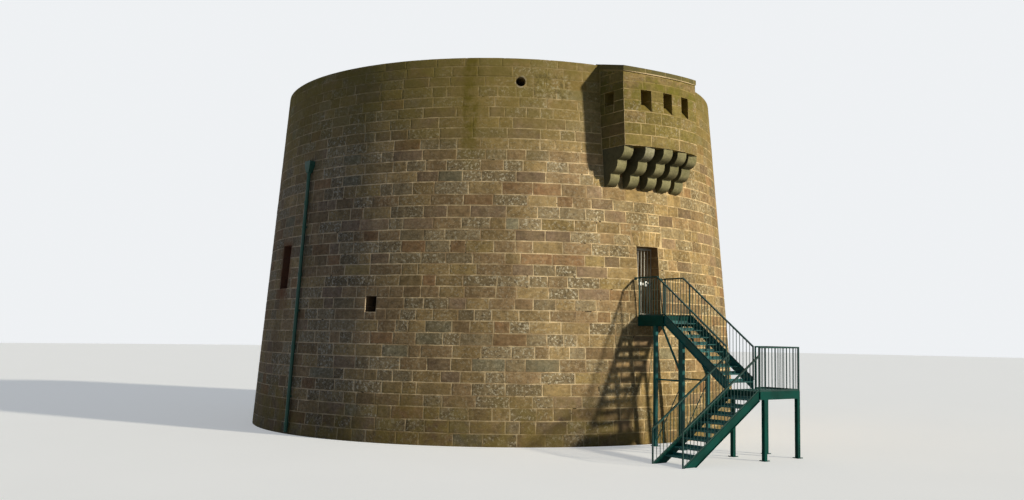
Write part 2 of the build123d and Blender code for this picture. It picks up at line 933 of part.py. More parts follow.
# Upper balustrades: level along the landing, then down the flight
rail_inset = stringer_flange / 2
level_start = landing_back - landing_front + newel / 2
rail_turn = -(guard_height - rail_height) / upper_pitch
guard_top = floor_level + guard_height
upper_guard_plane = upper_plane.offset(rail_inset)
turn_top = flight_line(floor_level + rail_height, -newel / 2, upper_pitch)
with BuildPart() as upper_guard_left:
    add(
        balustrade(
            upper_guard_plane,
            [
                (level_start, rail_turn, floor_level, floor_level, guard_top, guard_top),
                (rail_turn, -newel / 2, floor_level, floor_level, guard_top, turn_top),
                flight_stretch(-newel / 2, upper_run - newel / 2, floor_level, upper_pitch),
            ],
            [
                level_newel(level_start, guard_top, floor_level),
                flight_newel(-newel / 2, floor_level, floor_level, upper_pitch),
                flight_newel(upper_run - newel / 2, floor_level, 0, upper_pitch),
            ],
        )
    )
save(upper_guard_left.part, "upper_guard_left")
with BuildPart() as upper_guard_right:
    add(upper_guard_left.part)
    mirror(about=Plane.YZ, mode=Mode.REPLACE)
save(upper_guard_right.part, "upper_guard_right")

# Lower balustrades: the outer one also guards the half landing's front
half_guard_top = half_level + guard_height
front_start = -(half_landing_right + half_stair) + newel / 2
lower_guard_plane = lower_plane.offset(rail_inset)
lower_end = lower_run + newel / 2
with BuildPart() as lower_guard_far:
    add(
        balustrade(
            lower_guard_plane,
            [flight_stretch(newel / 2, lower_run, half_level, lower_pitch)],
            [
                flight_newel(newel / 2, half_level, 0, lower_pitch),
                flight_newel(lower_end, half_level, 0, lower_pitch),
            ],
        )
    )
save(lower_guard_far.part, "lower_guard_far")

outer_guard_plane = lower_plane.offset(lower_far - half_landing_front + rail_inset)
with BuildPart() as lower_guard_near:
    add(
        balustrade(
            outer_guard_plane,
            [
                (front_start, 0, half_level, half_level, half_guard_top, half_guard_top),
                flight_stretch(0, lower_run, half_level, lower_pitch),
            ],
            [
                level_newel(front_start, half_guard_top, half_level),
                level_newel(0, half_guard_top, half_level + stringer_above),
                flight_newel(lower_end, half_level, 0, lower_pitch),
            ],
        )
    )
save(lower_guard_near.part, "lower_guard_near")

# Guards along the half landing's free end and beside the upper flight's foot
side_plane = Plane(
    origin=(half_landing_right - handrail_width / 2, -half_landing_back, 0),
    x_dir=(0, -1, 0),
    z_dir=(-1, 0, 0),
)
back_plane = Plane(
    origin=(half_stair, -half_landing_back - handrail_width / 2, 0),
    x_dir=(-1, 0, 0),
    z_dir=(0, 1, 0),
)
side_end = half_landing_depth - handrail_width - newel_gap
back_start = half_stair - half_landing_right + handrail_width + newel_gap
with BuildPart() as half_landing_guard:
    add(
        balustrade(
            side_plane,
            [(newel / 2, side_end, half_level, half_level, half_guard_top, half_guard_top)],
            [level_newel(newel / 2, half_guard_top, half_level)],
        )
    )
    add(
        balustrade(
            back_plane,
            [(back_start, -newel / 2, half_level, half_level, half_guard_top, half_guard_top)],
            [level_newel(-newel / 2, half_guard_top, half_level)],
        )
    )
save(half_landing_guard.part, "half_landing_guard")


pipe_line = pipe_centre(pipe_top) - pipe_centre(pipe_foot)


def pipe_plane(level):
    """Plane square to the leaning rainwater pipe, with its origin on the pipe's axis."""
    turn = math.radians(pipe_azimuth(level))
    outward = Vector(math.sin(turn), -math.cos(turn), 0)
    return Plane(origin=pipe_centre(level), x_dir=pipe_line.cross(outward), z_dir=pipe_line)


with BuildPart() as downpipe:
    with BuildSketch(pipe_plane(pipe_foot)):
        Circle(pipe_diameter / 2)
        Circle(pipe_diameter / 2 - pipe_wall, mode=Mode.SUBTRACT)
    extrude(amount=pipe_line.length)
save(downpipe.part, "downpipe")

with BuildPart() as pipe_brackets:
    for level in bracket_levels:
        face = outer_radius(level)
        low = level - bracket_height / 2
        ring = pipe_plane(level)
        inside, outside = face - bracket_tail, face + pipe_offset
        high = low + bracket_height
        add(column(pipe_azimuth(level), bracket_width, low, high, inside, outside))
        with BuildSketch(ring.offset(-bracket_height / 2)):
            Circle(pipe_diameter / 2 + bracket_ring)
        extrude(amount=bracket_height)
        with BuildSketch(ring.offset(-bracket_height)):
            Circle(pipe_diameter / 2 + hinge_play)
        extrude(amount=2 * bracket_height, mode=Mode.SUBTRACT)
save(pipe_brackets.part, "pipe_brackets")

# Rainwater head: a tapered open box on the pipe's end
head_plane = pipe_plane(pipe_top)
head_across, head_out, head_height = head_size
with BuildPart() as rainwater_head:
    for wall, mode in ((0, Mode.ADD), (head_wall, Mode.SUBTRACT)):
        with BuildSketch(head_plane.offset(wall)):
            Rectangle(head_foot - 2 * wall, head_foot - 2 * wall)
        with BuildSketch(head_plane.offset(head_height * head_waist)):
            Rectangle(head_across - 2 * wall, head_out - 2 * wall)
        loft(mode=mode)
        with BuildSketch(head_plane.offset(head_height * head_waist)):
            Rectangle(head_across - 2 * wall, head_out - 2 * wall)
        extrude(amount=head_height * (1 - head_waist) + wall, mode=mode)
    with BuildSketch(head_plane):
        Circle(pipe_diameter / 2 - pipe_wall)
    extrude(amount=2 * head_wall, mode=Mode.SUBTRACT)
save(rainwater_head.part, "rainwater_head")
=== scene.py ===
import math

import bpy
import numpy as np
from mathutils import Matrix, Vector


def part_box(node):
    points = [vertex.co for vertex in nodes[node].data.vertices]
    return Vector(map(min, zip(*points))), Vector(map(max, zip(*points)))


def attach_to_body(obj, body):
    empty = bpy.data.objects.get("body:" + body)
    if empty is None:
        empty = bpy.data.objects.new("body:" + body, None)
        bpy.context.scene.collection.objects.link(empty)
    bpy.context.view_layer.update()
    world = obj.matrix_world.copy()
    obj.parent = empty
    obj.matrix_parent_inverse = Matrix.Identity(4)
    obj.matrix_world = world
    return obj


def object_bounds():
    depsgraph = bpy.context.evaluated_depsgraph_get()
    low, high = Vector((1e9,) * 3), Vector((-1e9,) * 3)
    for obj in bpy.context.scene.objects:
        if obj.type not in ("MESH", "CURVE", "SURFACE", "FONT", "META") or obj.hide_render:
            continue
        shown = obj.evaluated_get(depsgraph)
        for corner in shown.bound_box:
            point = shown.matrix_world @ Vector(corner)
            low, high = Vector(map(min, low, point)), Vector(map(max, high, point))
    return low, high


bl_info = {
    "name": "Martello tower finish",
    "version": (1, 0, 0),
    "blender": (4, 5, 0),
    "location": "View3D > Sidebar > Tower",
    "description": "Coursed stone, weathering, steel stair finish and stage for a round gun tower",
    "category": "Object",
}

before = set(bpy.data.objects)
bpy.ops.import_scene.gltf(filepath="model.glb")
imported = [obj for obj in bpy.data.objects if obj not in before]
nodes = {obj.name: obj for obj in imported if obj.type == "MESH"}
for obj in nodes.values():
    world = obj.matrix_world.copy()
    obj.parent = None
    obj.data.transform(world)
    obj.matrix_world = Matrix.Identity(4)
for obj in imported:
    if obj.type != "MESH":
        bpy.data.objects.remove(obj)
cad_box = [[float(v) for v in corner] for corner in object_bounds()]

TOWER = "tower"

# Levels are heights in metres. Turns are degrees round the tower, from the door towards +X.
FLOOR_LEVEL = 3.56
DOOR_HEAD = 5.56
ARCH_HEAD = 5.99
VENT_LEVEL = 10.1
LOOP_TURN = -60.9
WINDOW_TURN = 91.7
VENT_TURN = -29.6
ALGAE_RUN_TURN = -40.6
LICHEN_TURN = -22.5
COURSE_JOINTS = (
    0.0, 0.34, 0.68, 1.02, 1.34, 1.67, 1.98, 2.33, 2.67, 3.01, 3.34, 3.65,
    3.96, 4.28, 4.59, 4.90, 5.21, 5.55, 5.86, 6.19, 6.53, 6.84, 7.20, 7.51,
    7.82, 8.13, 8.44, 8.74, 9.05, 9.35, 9.64, 9.95, 10.23, 10.53, 10.77,
)
BOX_JOINTS = (8.28, 8.60, 8.93, 9.27, 9.58, 9.89, 10.12, 10.40, 10.70)

# Thickness of the box's coping
COPING_DEPTH = 0.198

# Tints of growth, stains, wear, lights and stage, as linear red, green and blue
LOOP_SIDE_TINT = (1.10, 1.16, 1.42)
DOOR_SIDE_TINT = (1.0, 0.965, 0.86)
CROWN_GROWTH = (0.215, 0.175, 0.050)
ALGAE_RUN = (0.165, 0.132, 0.022)
VENT_RIM = (0.47, 0.41, 0.30)
PALE_LICHEN = (0.47, 0.42, 0.27)
DARK_LICHEN = (0.13, 0.105, 0.045)
WINDOW_STAIN = (0.20, 0.090, 0.050)
WINDOW_REVEAL = (0.215, 0.090, 0.058)
STONE_FILM = (0.350, 0.260, 0.134)
STONE_PIT = (0.072, 0.056, 0.040)
JOINT_HOLE = (0.045, 0.036, 0.026)
BOX_BLOOM = (0.190, 0.178, 0.022)
BOX_DAMP = (0.085, 0.070, 0.030)
CORBEL_BLOTCH = (0.215, 0.205, 0.080)
CORBEL_BLEACHED = (0.54, 0.51, 0.38)
CORBEL_DAMP = (0.060, 0.056, 0.034)
RUST = (0.16, 0.055, 0.02)
BARE_TREAD = (0.12, 0.13, 0.12)
ZINC = (0.50, 0.51, 0.50)
FLAGSTONE = (0.30, 0.26, 0.17)
DARK_FLAGSTONE = (0.23, 0.21, 0.14)
FLAG_JOINT = (0.14, 0.13, 0.085)
BOARD_GAP = (0.02, 0.014, 0.008)
WARM_KEY = (1.0, 0.925, 0.76)
SOFT_FILL = (0.64, 0.80, 1.0)
BACKDROP = (0.86, 0.88, 0.90)
FLOOR_GLOW = (0.97, 0.985, 1.0)
FLOOR_BOUNCE = (0.34, 0.335, 0.32)


def in_metres(name, description, default):
    """Property for a length."""
    return bpy.props.FloatProperty(name=name, description=description, default=default, unit="LENGTH")


def in_degrees(name, description, degrees):
    """Property for an angle, whose default is given in degrees."""
    default = math.radians(degrees)
    return bpy.props.FloatProperty(name=name, description=description, default=default, subtype="ANGLE")


def plain(name, description, default):
    """Property for a number without a unit."""
    return bpy.props.FloatProperty(name=name, description=description, default=default, precision=4)


def as_colour(name, description, default):
    """Property for a colour, as linear red, green and blue."""
    return bpy.props.FloatVectorProperty(
        name=name, description=description, default=default, subtype="COLOR",
    )


class TowerSizes(bpy.types.PropertyGroup):
    """Sizes that the stonework and the fittings are made to."""

    base_radius: in_metres("Base radius", "Outer radius at the foot", 8.13)
    batter: plain("Batter", "How far the face leans in for each metre up", 0.0812)
    wall_top: in_metres("Wall top", "Height of the parapet's outer edge", 10.77)
    well_radius: in_metres("Well radius", "Radius of the parapet's inner face", 5.6)
    top_slope: plain("Top slope", "Rise of the parapet's top for each metre inwards", 0.23)
    joint: in_metres("Joint", "Width of the pointing between stones", 0.022)
    proud: in_metres("Stone relief", "How far a stone's face stands out of its joints", 0.004)
    arris: in_metres("Worn edge", "Width of a stone's worn edge", 0.007)
    shortest: in_metres("Shortest stone", "Length of the shortest stones", 0.36)
    longest: in_metres("Longest stone", "Length of the longest stones", 1.00)
    box_axis: in_metres("Box axis", "Distance from the tower's axis to the box front's own axis", 4.88)
    box_curve: in_metres("Box curve", "Radius of the box's front at its foot", 3.69)
    box_batter: plain("Box batter", "How far the box's front leans back for each metre up", 0.045)
    box_half: in_metres("Box half width", "Half of the box's width", 1.41)
    box_foot: in_metres("Box foot", "Height of the corbels' tops", 8.28)


class TowerColours(bpy.types.PropertyGroup):
    """Colours of the finishes."""

    red: as_colour("Red stone", "Plain red-brown sandstone", (0.338, 0.190, 0.094))
    purple: as_colour("Purple stone", "Plain purple-brown sandstone", (0.285, 0.196, 0.128))
    brown: as_colour("Brown stone", "Plain brown sandstone", (0.350, 0.232, 0.122))
    olive: as_colour("Olive stone", "Speckled grey-olive sandstone", (0.330, 0.254, 0.148))
    tan: as_colour("Tan stone", "Tan sandstone", (0.420, 0.292, 0.134))
    ochre: as_colour("Ochre stone", "Ochre sandstone", (0.400, 0.285, 0.115))
    slate: as_colour("Slate stone", "Blue-grey sandstone", (0.315, 0.285, 0.185))
    fleck: as_colour("Flecks", "Pale grains in the speckled stones", (0.660, 0.590, 0.430))
    box: as_colour("Box stone", "Olive-tan stone of the machicolation", (0.310, 0.238, 0.076))
    pointing: as_colour("Pointing", "Lime mortar between the stones", (0.800, 0.620, 0.370))
    algae: as_colour("Algae", "Olive growth on the upper courses", (0.250, 0.192, 0.046))
    moss: as_colour("Moss", "Dark grey-green growth on the coping", (0.160, 0.140, 0.060))
    corbel: as_colour("Corbels", "Pale green-grey dressed stone", (0.312, 0.284, 0.150))
    limewash: as_colour("Inner face", "Limewashed masonry inside", (0.50, 0.46, 0.37))
    steel: as_colour("Stair paint", "Dark blue-green paint on the stair", (0.004, 0.100, 0.096))
    decks: as_colour("Landing paint", "Deeper paint on landings and lower flight", (0.001, 0.054, 0.042))
    rails: as_colour("Rail paint", "Darker paint on the flights' guards", (0.008, 0.048, 0.040))
    iron: as_colour("Gate paint", "Pale grey paint on the gate's bars", (0.520, 0.500, 0.440))
    pipe: as_colour("Pipe paint", "Green paint on the rainwater pipe", (0.015, 0.066, 0.050))
    timber: as_colour("Floor timber", "Old boards and joists", (0.21, 0.14, 0.08))
    floor: as_colour("Stage floor", "Plain pale floor", (0.80, 0.80, 0.79))


class TowerView(bpy.types.PropertyGroup):
    """Camera and light."""

    eye: bpy.props.FloatVectorProperty(
        name="Camera place", description="Where the camera stands", subtype="TRANSLATION", unit="LENGTH",
        default=(-19.67, -28.95, 3.05),
    )
    heading: in_degrees("Heading", "Turn of the view from +Y towards +X", 35.03)
    lift: in_degrees("Lift", "How far the view looks up", 4.70)
    roll: in_degrees("Roll", "How far the frame's right side is raised", 0.84)
    lens: bpy.props.FloatProperty(
        name="Lens", description="Focal length on a 36 mm wide frame", default=35.156, unit="CAMERA",
    )
    key: plain("Key light", "Strength of the soft key light", 3.20)
    key_turn: in_degrees("Key side", "Turn of the key light from the door towards +X", 26.3)
    key_lift: in_degrees("Key height", "How high the key light stands", 20.0)
    fill: plain("Fill light", "Strength of the light from all round", 0.165)


def tint(name, factor=1.0):
    """One of the scene's colours, made darker or paler by a factor."""
    return tuple(factor * v for v in getattr(bpy.context.scene.tower_colours, name))


def wall_radius(level):
    """Radius of the battered face at a height: base radius - batter x height."""
    sizes = bpy.context.scene.tower_sizes
    return sizes.base_radius - sizes.batter * level


# Shader building


class Finish:
    """A material under construction: adds shader nodes and links them."""

    def __init__(self, name, metallic=0.0, specular=0.10):
        self.material = bpy.data.materials.new(name)
        self.material.use_nodes = True
        self.tree = self.material.node_tree
        self.shader = self.tree.nodes["Principled BSDF"]
        self.shader.inputs["Metallic"].default_value = metallic
        self.shader.inputs["Specular IOR Level"].default_value = specular
        self.place = self.node("TexCoord").outputs["Object"]
        self.bumps = None

    def feed(self, socket, value):
        """Link an output, or set a plain number or colour."""
        if isinstance(value, bpy.types.NodeSocket):
            self.tree.links.new(value, socket)
        elif isinstance(value, (tuple, list)) and len(value) == 3 and len(socket.default_value) == 4:
            socket.default_value = (*value, 1.0)
        else:
            socket.default_value = value

    def node(self, kind, inputs=None, **settings):
        """New node with its settings, and with its inputs fed by name or by number."""
        made = self.tree.nodes.new("ShaderNode" + kind)
        for name, value in settings.items():
            setattr(made, name, value)
        for name, value in (inputs or {}).items():
            self.feed(made.inputs[name], value)
        return made

    def calc(self, operation, a, b=0.0):
        """Arithmetic on two values."""
        return self.node("Math", {0: a, 1: b}, operation=operation).outputs[0]

    def times(self, first, *others):
        """Product of values."""
        for value in others:
            first = self.calc("MULTIPLY", first, value)
        return first

    def plus(self, first, *others):
        """Sum of values."""
        for value in others:
            first = self.calc("ADD", first, value)
        return first

    def larger(self, a, b):
        """The larger of two values."""
        return self.calc("MAXIMUM", a, b)

    def size(self, value):
        """A value without its sign."""
        return self.calc("ABSOLUTE", value)

    def apart(self, value, centre):
        """Distance between a value and a centre."""
        return self.size(self.calc("SUBTRACT", value, centre))

    def centred(self, value, spread):
        """A value from 0 to 1, less one half, times a spread."""
        return self.times(self.calc("SUBTRACT", value, 0.5), spread)

    def diagonal(self, a, b):
        """Square root of the sum of two squares."""
        return self.calc("SQRT", self.plus(self.times(a, a), self.times(b, b)))

    def axes(self, vector=None):
        """X, Y and Z of a vector, of the piece's own place by default."""
        return tuple(self.node("SeparateXYZ", {0: vector or self.place}).outputs)

    def vector(self, x, y, z=0.0):
        """Vector from three values."""
        return self.node("CombineXYZ", {0: x, 1: y, 2: z}).outputs[0]

    def stretched(self, scale):
        """The place scaled unevenly, for grain and streaks."""
        return self.node("Mapping", {"Vector": self.place, "Scale": scale}).outputs[0]

    def noise(self, scale, detail=3.0, vector=None, roughness=0.55):
        """Fractal noise, from 0 to 1, around one half."""
        inputs = {"Scale": scale, "Detail": detail, "Roughness": roughness, "Vector": vector or self.place}
        return self.node("TexNoise", inputs).outputs["Fac"]

    def cells(self, scale, vector=None, randomness=1.0):
        """Distance to the nearest scattered point."""
        inputs = {"Scale": scale, "Randomness": randomness, "Vector": vector or self.place}
        return self.node("TexVoronoi", inputs).outputs["Distance"]

    def courses(self, across, up, length, height, joint, softness, colours):
        """Bond of blocks on (across, up): its colour, and a mask of its joints."""
        inputs = {
            "Vector": self.vector(across, up), "Scale": 1.0, "Brick Width": length, "Row Height": height,
            "Mortar Size": joint, "Mortar Smooth": softness,
        }
        inputs.update(zip(("Color1", "Color2", "Mortar"), colours))
        made = self.node("TexBrick", inputs)
        return made.outputs["Color"], made.outputs["Fac"]

    def band(self, value, low, high, to_low=0.0, to_high=1.0):
        """Smooth step of a value between two limits."""
        inputs = {"Value": value, "From Min": low, "From Max": high, "To Min": to_low, "To Max": to_high}
        return self.node("MapRange", inputs, interpolation_type="SMOOTHSTEP").outputs["Result"]

    def fade(self, value, low, high):
        """Smooth fall from 1 to 0 between two limits."""
        return self.band(value, low, high, 1.0, 0.0)

    def window(self, value, rise, fall):
        """1 between a rise and a fall, each given by its two limits."""
        return self.times(self.band(value, *rise), self.fade(value, *fall))

    def steps(self, value, stops):
        """Colour that changes at each stop, for (position, colour) stops."""
        made = self.node("ValToRGB", {"Fac": value})
        made.color_ramp.interpolation = "CONSTANT"
        elements = made.color_ramp.elements
        while len(elements) < len(stops):
            elements.new(0.5)
        for element, (position, colour) in zip(elements, stops):
            element.position = position
            element.color = (*colour, 1.0)
        return made.outputs["Color"]

    def mix(self, factor, a, b, blend="MIX"):
        """Mix of two colours."""
        return self.node("Mix", {0: factor, 6: a, 7: b}, data_type="RGBA", blend_type=blend).outputs[2]

    def filtered(self, mask, colour, filter_colour):
        """Colour multiplied by another where the mask is 1."""
        return self.mix(mask, colour, self.mix(1.0, colour, filter_colour, "MULTIPLY"))

    def shade(self, colour, factor):
        """Colour multiplied by a grey value."""
        return self.mix(1.0, colour, self.vector(factor, factor, factor), "MULTIPLY")

    def stone_values(self):
        """The three values from 0 to 1 that each stone keeps on its mesh."""
        return self.axes(self.node("Attribute", attribute_name="stone").outputs["Color"])

    def facing(self):
        """X, Y and Z of the direction that a face looks in."""
        return self.axes(self.node("NewGeometry").outputs["Normal"])

    def relief(self, height, distance):
        """Add a bump layer: height from 0 to 1 over a distance in metres."""
        inputs = {"Height": height, "Distance": distance}
        if self.bumps is not None:
            inputs["Normal"] = self.bumps
        self.bumps = self.node("Bump", inputs).outputs["Normal"]

    def done(self, colour, roughness):
        """Connect the colour, the roughness and the bump, and give the material."""
        self.feed(self.shader.inputs["Base Color"], colour)
        self.feed(self.shader.inputs["Roughness"], roughness)
        if self.bumps is not None:
            self.feed(self.shader.inputs["Normal"], self.bumps)
        return self.material


def around(finish):
    """Azimuth from the door (towards +X), distance from the axis and height, for a point of the piece."""
    x, y, z = finish.axes()
    azimuth = finish.calc("ARCTAN2", x, finish.times(y, -1.0))
    return azimuth, finish.diagonal(x, y), z


def weathered(finish, colour, strength=1.0):
    """Growth and stains by place: olive upper courses, a run of algae, damp near the foot, long streaks
    down the wall, a pale rim round the vent, a patch of lichen beside it and a red-brown stain at the
    left tall window. The side with the door is weathered paler and warmer than the side with the
    loop, which is greyer.

    The upper mask rises from height 7.2 to 10.0 m, broken by noise; the run of algae follows one azimuth
    and is about 0.4 m wide; streaks are noise drawn out ten times in height."""
    azimuth, radius, z = around(finish)
    blotch = finish.noise(2.6, 5.0)
    streak = finish.noise(1.5, 4.0, finish.stretched((1.0, 1.0, 0.10)))
    colour = finish.filtered(finish.window(azimuth, (-2.9, -2.1), (-1.25, -0.85)), colour, LOOP_SIDE_TINT)
    colour = finish.shade(colour, finish.band(streak, 0.30, 0.70, 0.82, 1.10))
    colour = finish.filtered(finish.window(azimuth, (-0.35, 0.0), (0.9, 2.7)), colour, DOOR_SIDE_TINT)
    paler = finish.times(
        finish.band(azimuth, -0.82, -0.12, 0.83, 1.23),
        finish.band(azimuth, 0.0, 0.6, 1.0, 0.92),
        finish.band(azimuth, 0.9, 2.7, 1.0, 0.733),
        finish.band(z, 0.0, 1.9, 0.68, 1.0),
    )
    colour = finish.shade(colour, paler)

    reach = finish.plus(z, finish.centred(finish.noise(0.55, 4.0), 3.2))
    upper = finish.times(finish.band(reach, 7.2, 10.0), finish.band(blotch, 0.25, 0.60, 0.50, 1.0), 0.71)
    damp = finish.times(finish.band(reach, 0.3, 2.0, 0.5, 0.0), finish.band(blotch, 0.35, 0.65))
    colour = finish.mix(finish.times(finish.larger(upper, damp), strength), colour, tint("algae"))
    crown = finish.times(finish.band(reach, 9.9, 11.0), finish.band(blotch, 0.35, 0.60, 0.25, 0.75))
    colour = finish.mix(crown, colour, CROWN_GROWTH)

    wander = finish.centred(finish.noise(1.4, 2.0), 0.035)
    aside = finish.apart(finish.plus(azimuth, wander), math.radians(ALGAE_RUN_TURN))
    run = finish.times(
        finish.fade(aside, 0.014, 0.042),
        finish.band(z, 7.0, 9.0),
        finish.band(finish.noise(3.4, 5.0), 0.36, 0.60, 0.25, 0.9),
    )
    colour = finish.mix(run, colour, ALGAE_RUN)

    across = finish.times(finish.calc("SUBTRACT", azimuth, math.radians(VENT_TURN)), radius)
    from_vent = finish.diagonal(across, finish.calc("SUBTRACT", z, VENT_LEVEL))
    rim = finish.times(
        finish.fade(from_vent, 0.165, 0.205), finish.band(finish.noise(5.0, 2.0), 0.42, 0.52), 0.6,
    )
    colour = finish.mix(rim, colour, VENT_RIM)

    aside = finish.apart(azimuth, math.radians(LICHEN_TURN))
    lichen = finish.times(finish.fade(aside, 0.05, 0.10), finish.window(z, (9.45, 9.75), (10.25, 10.5)))
    spots = finish.noise(8.0, 5.0, roughness=0.75)
    for limits, lichen_colour in (
        ((0.53, 0.62, 0.0, 0.7), PALE_LICHEN),
        ((0.40, 0.48, 0.7, 0.0), DARK_LICHEN),
    ):
        colour = finish.mix(finish.times(lichen, finish.band(spots, *limits)), colour, lichen_colour)

    aside = finish.apart(azimuth, -math.radians(WINDOW_TURN))
    stain = finish.times(
        finish.fade(aside, 0.03, 0.075),
        finish.window(z, (3.3, 4.2), (5.5, 6.0)),
        finish.band(finish.noise(3.2, 3.0), 0.3, 0.6, 0.25, 0.8),
    )
    return finish.mix(stain, colour, WINDOW_STAIN)


def speckled(finish, base, amount):
    """Grain of a sandstone: pale flecks and dark pits up to about 70 mm across where the amount is high,
    bedding lines about 70 mm apart and fine sand; flecks, pits and sand stand out or in as well."""
    bedding = finish.noise(3.0, 4.0, finish.stretched((1.0, 1.0, 5.0)))
    mottle = finish.noise(8.0, 4.0)
    flecks = finish.noise(14.5, 4.0, roughness=0.7)
    pits = finish.noise(12.0, 5.0, finish.stretched((1.0, 1.0, 1.4)), 0.72)
    grain = finish.noise(70.0, 2.0)
    base = finish.shade(base, finish.band(bedding, 0.25, 0.75, 0.88, 1.10))
    base = finish.shade(base, finish.band(mottle, 0.28, 0.72, 0.78, 1.20))
    base = finish.mix(finish.times(finish.band(flecks, 0.53, 0.61), amount), base, tint("fleck"))
    dark = finish.times(finish.band(pits, 0.53, 0.61), finish.plus(finish.times(amount, 0.50), 0.14))
    base = finish.mix(dark, base, STONE_PIT)
    base = finish.shade(base, finish.band(grain, 0.3, 0.7, 0.90, 1.08))
    finish.relief(flecks, 0.006)
    finish.relief(pits, -0.008)
    finish.relief(grain, 0.003)
    return base


def wall_stone_finish():
    """Sandstone blocks: each stone's kind comes from its own first value, its tone from the second and
    how speckled it is from the third; the olive kind has the most flecks. The same three values, less one
    half, are the slope of the stone's face, by up to three degrees along each axis."""
    finish = Finish("wall_stone")
    kind, tone, own = finish.stone_values()
    starts = {
        "red": 0.0, "purple": 0.07, "brown": 0.17, "olive": 0.36,
        "tan": 0.72, "ochre": 0.945, "slate": 0.965,
    }
    base = finish.steps(kind, [(start, tint(name)) for name, start in starts.items()])
    base = finish.shade(base, finish.band(tone, 0.0, 1.0, 0.68, 1.20))
    shares = ((0.0, 0.20), (0.17, 0.35), (0.36, 0.95), (0.72, 0.45))
    share = finish.axes(finish.steps(kind, [(start, (value,) * 3) for start, value in shares]))[0]
    x, y, z = finish.axes()
    slope = finish.plus(finish.centred(tone, x), finish.centred(own, y), finish.centred(kind, z))
    finish.relief(slope, 0.11)
    film = finish.band(finish.noise(1.9, 5.0, roughness=0.65), 0.32, 0.66, 0.08, 0.50)
    base = finish.mix(film, base, STONE_FILM)
    base = speckled(finish, base, finish.times(share, finish.band(own, 0.0, 0.7, 0.35, 1.0)))
    return finish.done(weathered(finish, base), 0.90)


def box_stone_finish():
    """Stones of the machicolation: one olive-tan stone with faint differences and yellow-green bloom,
    and dark damp on the two sides."""
    finish = Finish("box_stone")
    kind, tone, own = finish.stone_values()
    base = finish.shade(tint("box"), finish.band(tone, 0.0, 1.0, 0.84, 1.14))
    base = finish.mix(finish.times(finish.band(kind, 0.7, 0.9), 0.5), base, tint("brown"))
    base = speckled(finish, base, finish.band(own, 0.2, 1.0, 0.05, 0.45))
    level = finish.axes()[2]
    bloom = finish.times(
        finish.band(finish.noise(1.9, 5.0), 0.42, 0.62), finish.band(level, 8.6, 10.2, 0.25, 0.75),
    )
    base = finish.mix(bloom, base, BOX_BLOOM)
    damp = finish.band(finish.size(finish.facing()[0]), 0.7, 0.95, 0.0, 0.45)
    return finish.done(finish.mix(damp, base, BOX_DAMP), 0.90)


def masonry_finish(name, stone, outer_of):
    """The masonry behind the stones: lime pointing where outer_of says that the face is outside, and
    coursed rough stone within. The inner pattern is laid on (azimuth x 5.2 m, height). The upper room's
    face and the doorway's passage have patches of limewash, and the tall windows' reveals are red-brown.
    Pointing is partly lost at random, near the top and on the side with the loop, where what stays is
    washed paler."""
    finish = Finish(name)
    azimuth, radius, z = around(finish)
    rough = finish.noise(9.0, 5.0)
    sand = finish.noise(70.0, 2.0)
    colours = (tint(stone, 0.85), tint(stone, 0.65), tint("pointing", 0.6))
    inner, seams = finish.courses(finish.times(azimuth, 5.2), z, 0.62, 0.31, 0.012, 0.4, colours)
    inner = finish.shade(inner, finish.band(rough, 0.25, 0.75, 0.70, 1.25))
    room = finish.times(finish.fade(radius, 5.02, 5.2), finish.fade(z, 6.0, 6.2))
    passage = finish.times(
        finish.fade(finish.size(azimuth), 0.11, 0.13),
        finish.fade(radius, 7.33, 7.37),
        finish.fade(z, 5.6, 5.8),
    )
    wash = finish.times(finish.band(finish.noise(1.3, 4.0), 0.38, 0.60), finish.larger(room, passage))
    inner = finish.mix(wash, inner, tint("limewash"))
    aside = finish.apart(finish.size(azimuth), math.radians(WINDOW_TURN))
    reveal = finish.times(
        finish.fade(aside, 0.050, 0.056),
        finish.band(radius, 7.0, 7.2),
        finish.band(z, 4.2, 4.27),
        finish.band(z, 5.63, 5.70, 0.8, 0.0),
    )
    inner = finish.mix(reveal, inner, WINDOW_REVEAL)

    lime = finish.shade(tint("pointing"), finish.band(finish.noise(4.5, 4.0), 0.28, 0.72, 0.62, 1.15))
    behind = finish.band(azimuth, -2.9, -2.1)
    lost = finish.times(finish.band(finish.noise(1.3, 5.0, roughness=0.65), 0.46, 0.60), 0.8)
    lost = finish.larger(lost, finish.band(z, 8.9, 10.4, 0.0, 0.42))
    lost = finish.larger(lost, finish.times(finish.band(azimuth, -1.25, -0.95, 0.32, 0.0), behind))
    lime = finish.mix(lost, lime, tint(stone))
    washed_out = finish.times(finish.band(azimuth, -1.1, -0.5, 0.30, 0.0), behind)
    lime = finish.shade(lime, finish.plus(washed_out, 1.0))
    lime = finish.shade(lime, finish.band(sand, 0.3, 0.7, 0.85, 1.12))
    lime = finish.mix(finish.band(finish.noise(4.0, 3.0), 0.66, 0.69, 0.0, 0.9), lime, JOINT_HOLE)
    finish.relief(seams, -0.012)
    finish.relief(rough, 0.012)
    finish.relief(sand, 0.003)
    return finish.done(weathered(finish, finish.mix(outer_of(finish), inner, lime), 0.95), 0.92)


def outside_of_wall(finish):
    """1 where distance from the axis + batter x height comes within 10 mm of the base radius."""
    sizes = bpy.context.scene.tower_sizes
    _, radius, z = around(finish)
    lean = finish.plus(radius, finish.times(z, sizes.batter))
    return finish.band(lean, sizes.base_radius - 0.03, sizes.base_radius - 0.01)


